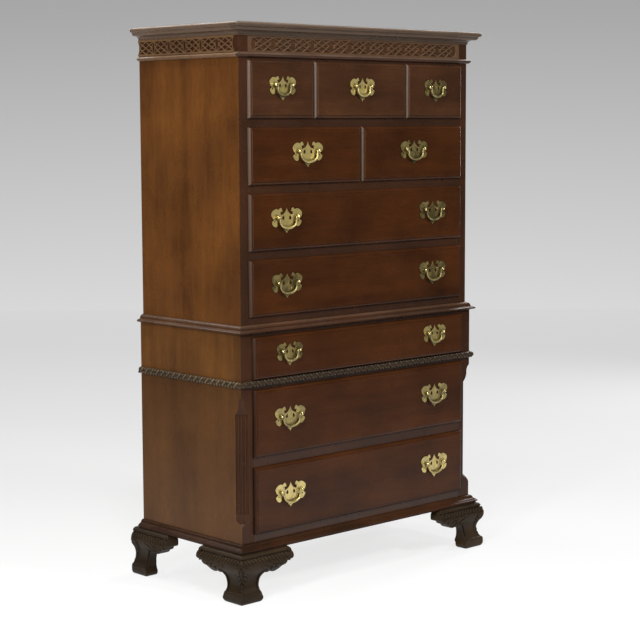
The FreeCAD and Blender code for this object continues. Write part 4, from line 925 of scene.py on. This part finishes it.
class CHEST_OT_studio(bpy.types.Operator):
    """Floor, backdrop, lamps and camera"""
    bl_idname = "chest.studio"
    bl_label = "Studio"

    # Camera: place in metres, turn, tilt and roll in degrees, and width of the frame in millimetres.
    EYE = Vector((-3.4714, -3.7357, 1.3154))
    TURN = 43.17
    TILT = -6.53
    ROLL = -0.214
    FRAME_WIDTH = 36
    # Lamps in metres: place, the point that it faces, width and height.
    MIDDLE = (0, 0, 0.85)
    LAMPS = {
        "left": ((-4.1, -1.7, 2.6), (0, 0, 1.3), (0.5, 2.4)),
        "right": ((3.5, 0.7, 2.5), MIDDLE, (0.8, 3.4)),
        "high": ((-2.6, -3.6, 3.9), MIDDLE, (0.8, 0.8)),
        "top": ((-1.5, -1.4, 4.2), MIDDLE, (0.3, 0.3)),
        "front": ((0.9, -3.9, 3.4), MIDDLE, (0.7, 0.7)),
        "back": ((-1, 2.6, 3.9), MIDDLE, (1.4, 1.4)),
    }
    # Tone of the backdrop by distance behind the chest, then up the wall: metres, screen level.
    TONES = ((-0.5, 255), (1, 238), (2.5, 230), (5, 226), (7, 229), (11, 180), (13, 158))
    # Each metre up the wall counts as this many of those metres.
    WALL_STEEPNESS = 2
    # Wall behind the chest, and floor in front of the chest and to each side, in metres.
    WALL = 7
    WALL_HEIGHT = 8
    FLOOR_REACH = 9
    FLOOR_SIDE = 4
    # Half width of the bright floor by distance behind the chest, how far it takes to fade, faded tone.
    BRIGHT_FLOOR = ((1.2, 1.3), (7, 2.8))
    FADE = 1.2
    FADED_FLOOR = linear(184, 183, 182)
    # Where it is seen, the floor glows with most of its tone, and a part of it takes light and shadow.
    GLOW = 0.8
    LIT_PART = 0.22
    # Share of light that the floor throws back on the chest.
    BOUNCE = 0.65

    def execute(self, context):
        studio = context.scene.chest_studio
        self.camera(context.scene, studio.lens)
        self.backdrop()
        for name, (place, target, size) in self.LAMPS.items():
            self.lamp(f"{name}_lamp", place, target, size, getattr(studio, f"{name}_power"))
        self.room(context.scene, studio.room_light)
        context.scene.view_settings.view_transform = "Standard"
        return {"FINISHED"}

    def camera(self, scene, lens):
        """The camera at the viewing angle of the reference."""
        turn, tilt, roll = (math.radians(angle) for angle in (self.TURN, self.TILT, self.ROLL))
        forward = Vector((math.sin(turn) * math.cos(tilt), math.cos(turn) * math.cos(tilt), math.sin(tilt)))
        right = forward.cross(Vector((0, 0, 1))).normalized()
        up = right.cross(forward)
        right, up = right * math.cos(roll) + up * math.sin(roll), up * math.cos(roll) - right * math.sin(roll)
        data = bpy.data.cameras.new("camera")
        data.lens = lens
        data.sensor_width = self.FRAME_WIDTH
        camera = bpy.data.objects.new("camera", data)
        facing = Matrix((right, up, -forward)).transposed().to_4x4()
        camera.matrix_world = Matrix.Translation(self.EYE) @ facing
        scene.collection.objects.link(camera)
        scene.camera = camera

    def backdrop(self):
        """A pale floor that sweeps up into a wall behind the chest."""
        bm = bmesh.new()
        turn = math.radians(self.TURN)
        away = Vector((math.sin(turn), math.cos(turn), 0))
        across = Vector((math.cos(turn), -math.sin(turn), 0))
        reach = self.FLOOR_REACH
        line = [bm.verts.new(away * -reach + across * side) for side in (-self.FLOOR_SIDE, self.FLOOR_SIDE)]
        edges = [bm.edges.new(line)]
        for step in (away * (reach + self.WALL), Vector((0, 0, self.WALL_HEIGHT))):
            made = bmesh.ops.extrude_edge_only(bm, edges=edges)["geom"]
            verts = [item for item in made if isinstance(item, bmesh.types.BMVert)]
            edges = [item for item in made
                     if isinstance(item, bmesh.types.BMEdge) and all(vert in verts for vert in item.verts)]
            bmesh.ops.translate(bm, verts=verts, vec=step)
        bmesh.ops.recalc_face_normals(bm, faces=bm.faces)
        mesh = bpy.data.meshes.new("floor")
        bm.to_mesh(mesh)
        bm.free()
        mesh.materials.append(self.sweep_material(away, across))
        floor = bpy.data.objects.new("floor", mesh)
        bpy.context.scene.collection.objects.link(floor)

    def sweep_material(self, away, across):
        """A pale floor that is brightest in front of the chest and fades softly behind and beside it."""
        material, tree, shader, place = new_material("Backdrop")
        tree.nodes.remove(shader)
        depth = dot(place, away + Vector((0, 0, self.WALL_STEEPNESS)))
        first, last = self.TONES[0][0], self.TONES[-1][0]
        ramp = tree.nodes.new("ShaderNodeValToRGB")
        link(remap(depth, first, last, 0, 1), ramp.inputs[0])
        stops = ramp.color_ramp.elements
        for distance, _ in self.TONES[1:-1]:
            stops.new((distance - first) / (last - first))
        for stop, (_, level) in zip(stops, self.TONES):
            stop.color = (*linear(level, level, level), 1)
        aside = value_math("ABSOLUTE", dot(place, across), 0)
        (near, near_side), (far, far_side) = self.BRIGHT_FLOOR
        edge = remap(depth, near, far, near_side, far_side)
        faded = remap(value_math("SUBTRACT", aside, edge), 0, self.FADE, 0, 1)
        tone = mix_colours(tree, faded, ramp.outputs[0], self.FADED_FLOOR)
        seen = add_node(tree, "ShaderNodeEmission", Strength=self.GLOW)
        link(tone, seen.inputs["Color"])
        shadowed = tree.nodes.new("ShaderNodeBsdfDiffuse")
        link(mix_colours(tree, 1 - self.LIT_PART, tone, (0, 0, 0)), shadowed.inputs["Color"])
        both = tree.nodes.new("ShaderNodeAddShader")
        link(seen.outputs[0], both.inputs[0])
        link(shadowed.outputs[0], both.inputs[1])
        plain = tree.nodes.new("ShaderNodeBsdfDiffuse")
        thrown = scaled(self.FADED_FLOOR, self.BOUNCE)
        link(mix_colours(tree, faded, (self.BOUNCE,) * 3, thrown), plain.inputs["Color"])
        rays = tree.nodes.new("ShaderNodeLightPath")
        mirrored = value_math("MAXIMUM", rays.outputs["Is Glossy Ray"], rays.outputs["Is Transmission Ray"])
        direct = value_math("MAXIMUM", rays.outputs["Is Camera Ray"], mirrored)
        chosen = tree.nodes.new("ShaderNodeMixShader")
        link(direct, chosen.inputs[0])
        link(plain.outputs[0], chosen.inputs[1])
        link(both.outputs[0], chosen.inputs[2])
        link(chosen.outputs[0], tree.nodes["Material Output"].inputs["Surface"])
        return material

    def lamp(self, name, place, target, size, power):
        """A large soft lamp that faces a point."""
        data = bpy.data.lights.new(name, "AREA")
        data.energy = power
        data.shape = "RECTANGLE"
        data.size, data.size_y = size
        lamp = bpy.data.objects.new(name, data)
        facing = (Vector(target) - Vector(place)).to_track_quat("-Z", "Y").to_matrix().to_4x4()
        lamp.matrix_world = Matrix.Translation(place) @ facing
        bpy.context.scene.collection.objects.link(lamp)

    def room(self, scene, strength):
        """Even white light from the room."""
        world = bpy.data.worlds.new("Room")
        world.use_nodes = True
        background = world.node_tree.nodes["Background"]
        background.inputs["Color"].default_value = (1, 1, 1, 1)
        background.inputs["Strength"].default_value = strength
        scene.world = world


class CHEST_PT_panel(bpy.types.Panel):
    """The chest's pieces, in order"""
    bl_idname = "CHEST_PT_panel"
    bl_label = "Chest"
    bl_space_type = "VIEW_3D"
    bl_region_type = "UI"
    bl_category = "Chest"

    def draw(self, context):
        for operator in OPERATORS:
            self.layout.operator(operator.bl_idname)
        for group, _ in GROUPS:
            settings = getattr(context.scene, group)
            for name in settings.bl_rna.properties.keys():
                if name not in ("rna_type", "name"):
                    self.layout.prop(settings, name)


OPERATORS = (CHEST_OT_case_woods, CHEST_OT_drawer_woods, CHEST_OT_brasses, CHEST_OT_carved_moulding,
             CHEST_OT_carved_feet, CHEST_OT_back_nails, CHEST_OT_studio)
GROUPS = (("chest_finishes", ChestFinishes), ("chest_carving", ChestCarving), ("chest_studio", ChestStudio))


def register():
    """Add the classes and their settings."""
    for name, group in GROUPS:
        bpy.utils.register_class(group)
        setattr(bpy.types.Scene, name, bpy.props.PointerProperty(type=group))
    for operator in OPERATORS:
        bpy.utils.register_class(operator)
    bpy.utils.register_class(CHEST_PT_panel)


def unregister():
    """Take the classes and their settings away."""
    bpy.utils.unregister_class(CHEST_PT_panel)
    for operator in reversed(OPERATORS):
        bpy.utils.unregister_class(operator)
    for name, group in reversed(GROUPS):
        delattr(bpy.types.Scene, name)
        bpy.utils.unregister_class(group)


def main():
    """Make every piece in order."""
    register()
    bpy.ops.chest.case_woods()
    bpy.ops.chest.drawer_woods()
    bpy.ops.chest.brasses()
    bpy.ops.chest.carved_moulding()
    bpy.ops.chest.carved_feet()
    bpy.ops.chest.back_nails()
    bpy.ops.chest.studio()


if __name__ == "__main__":
    main()
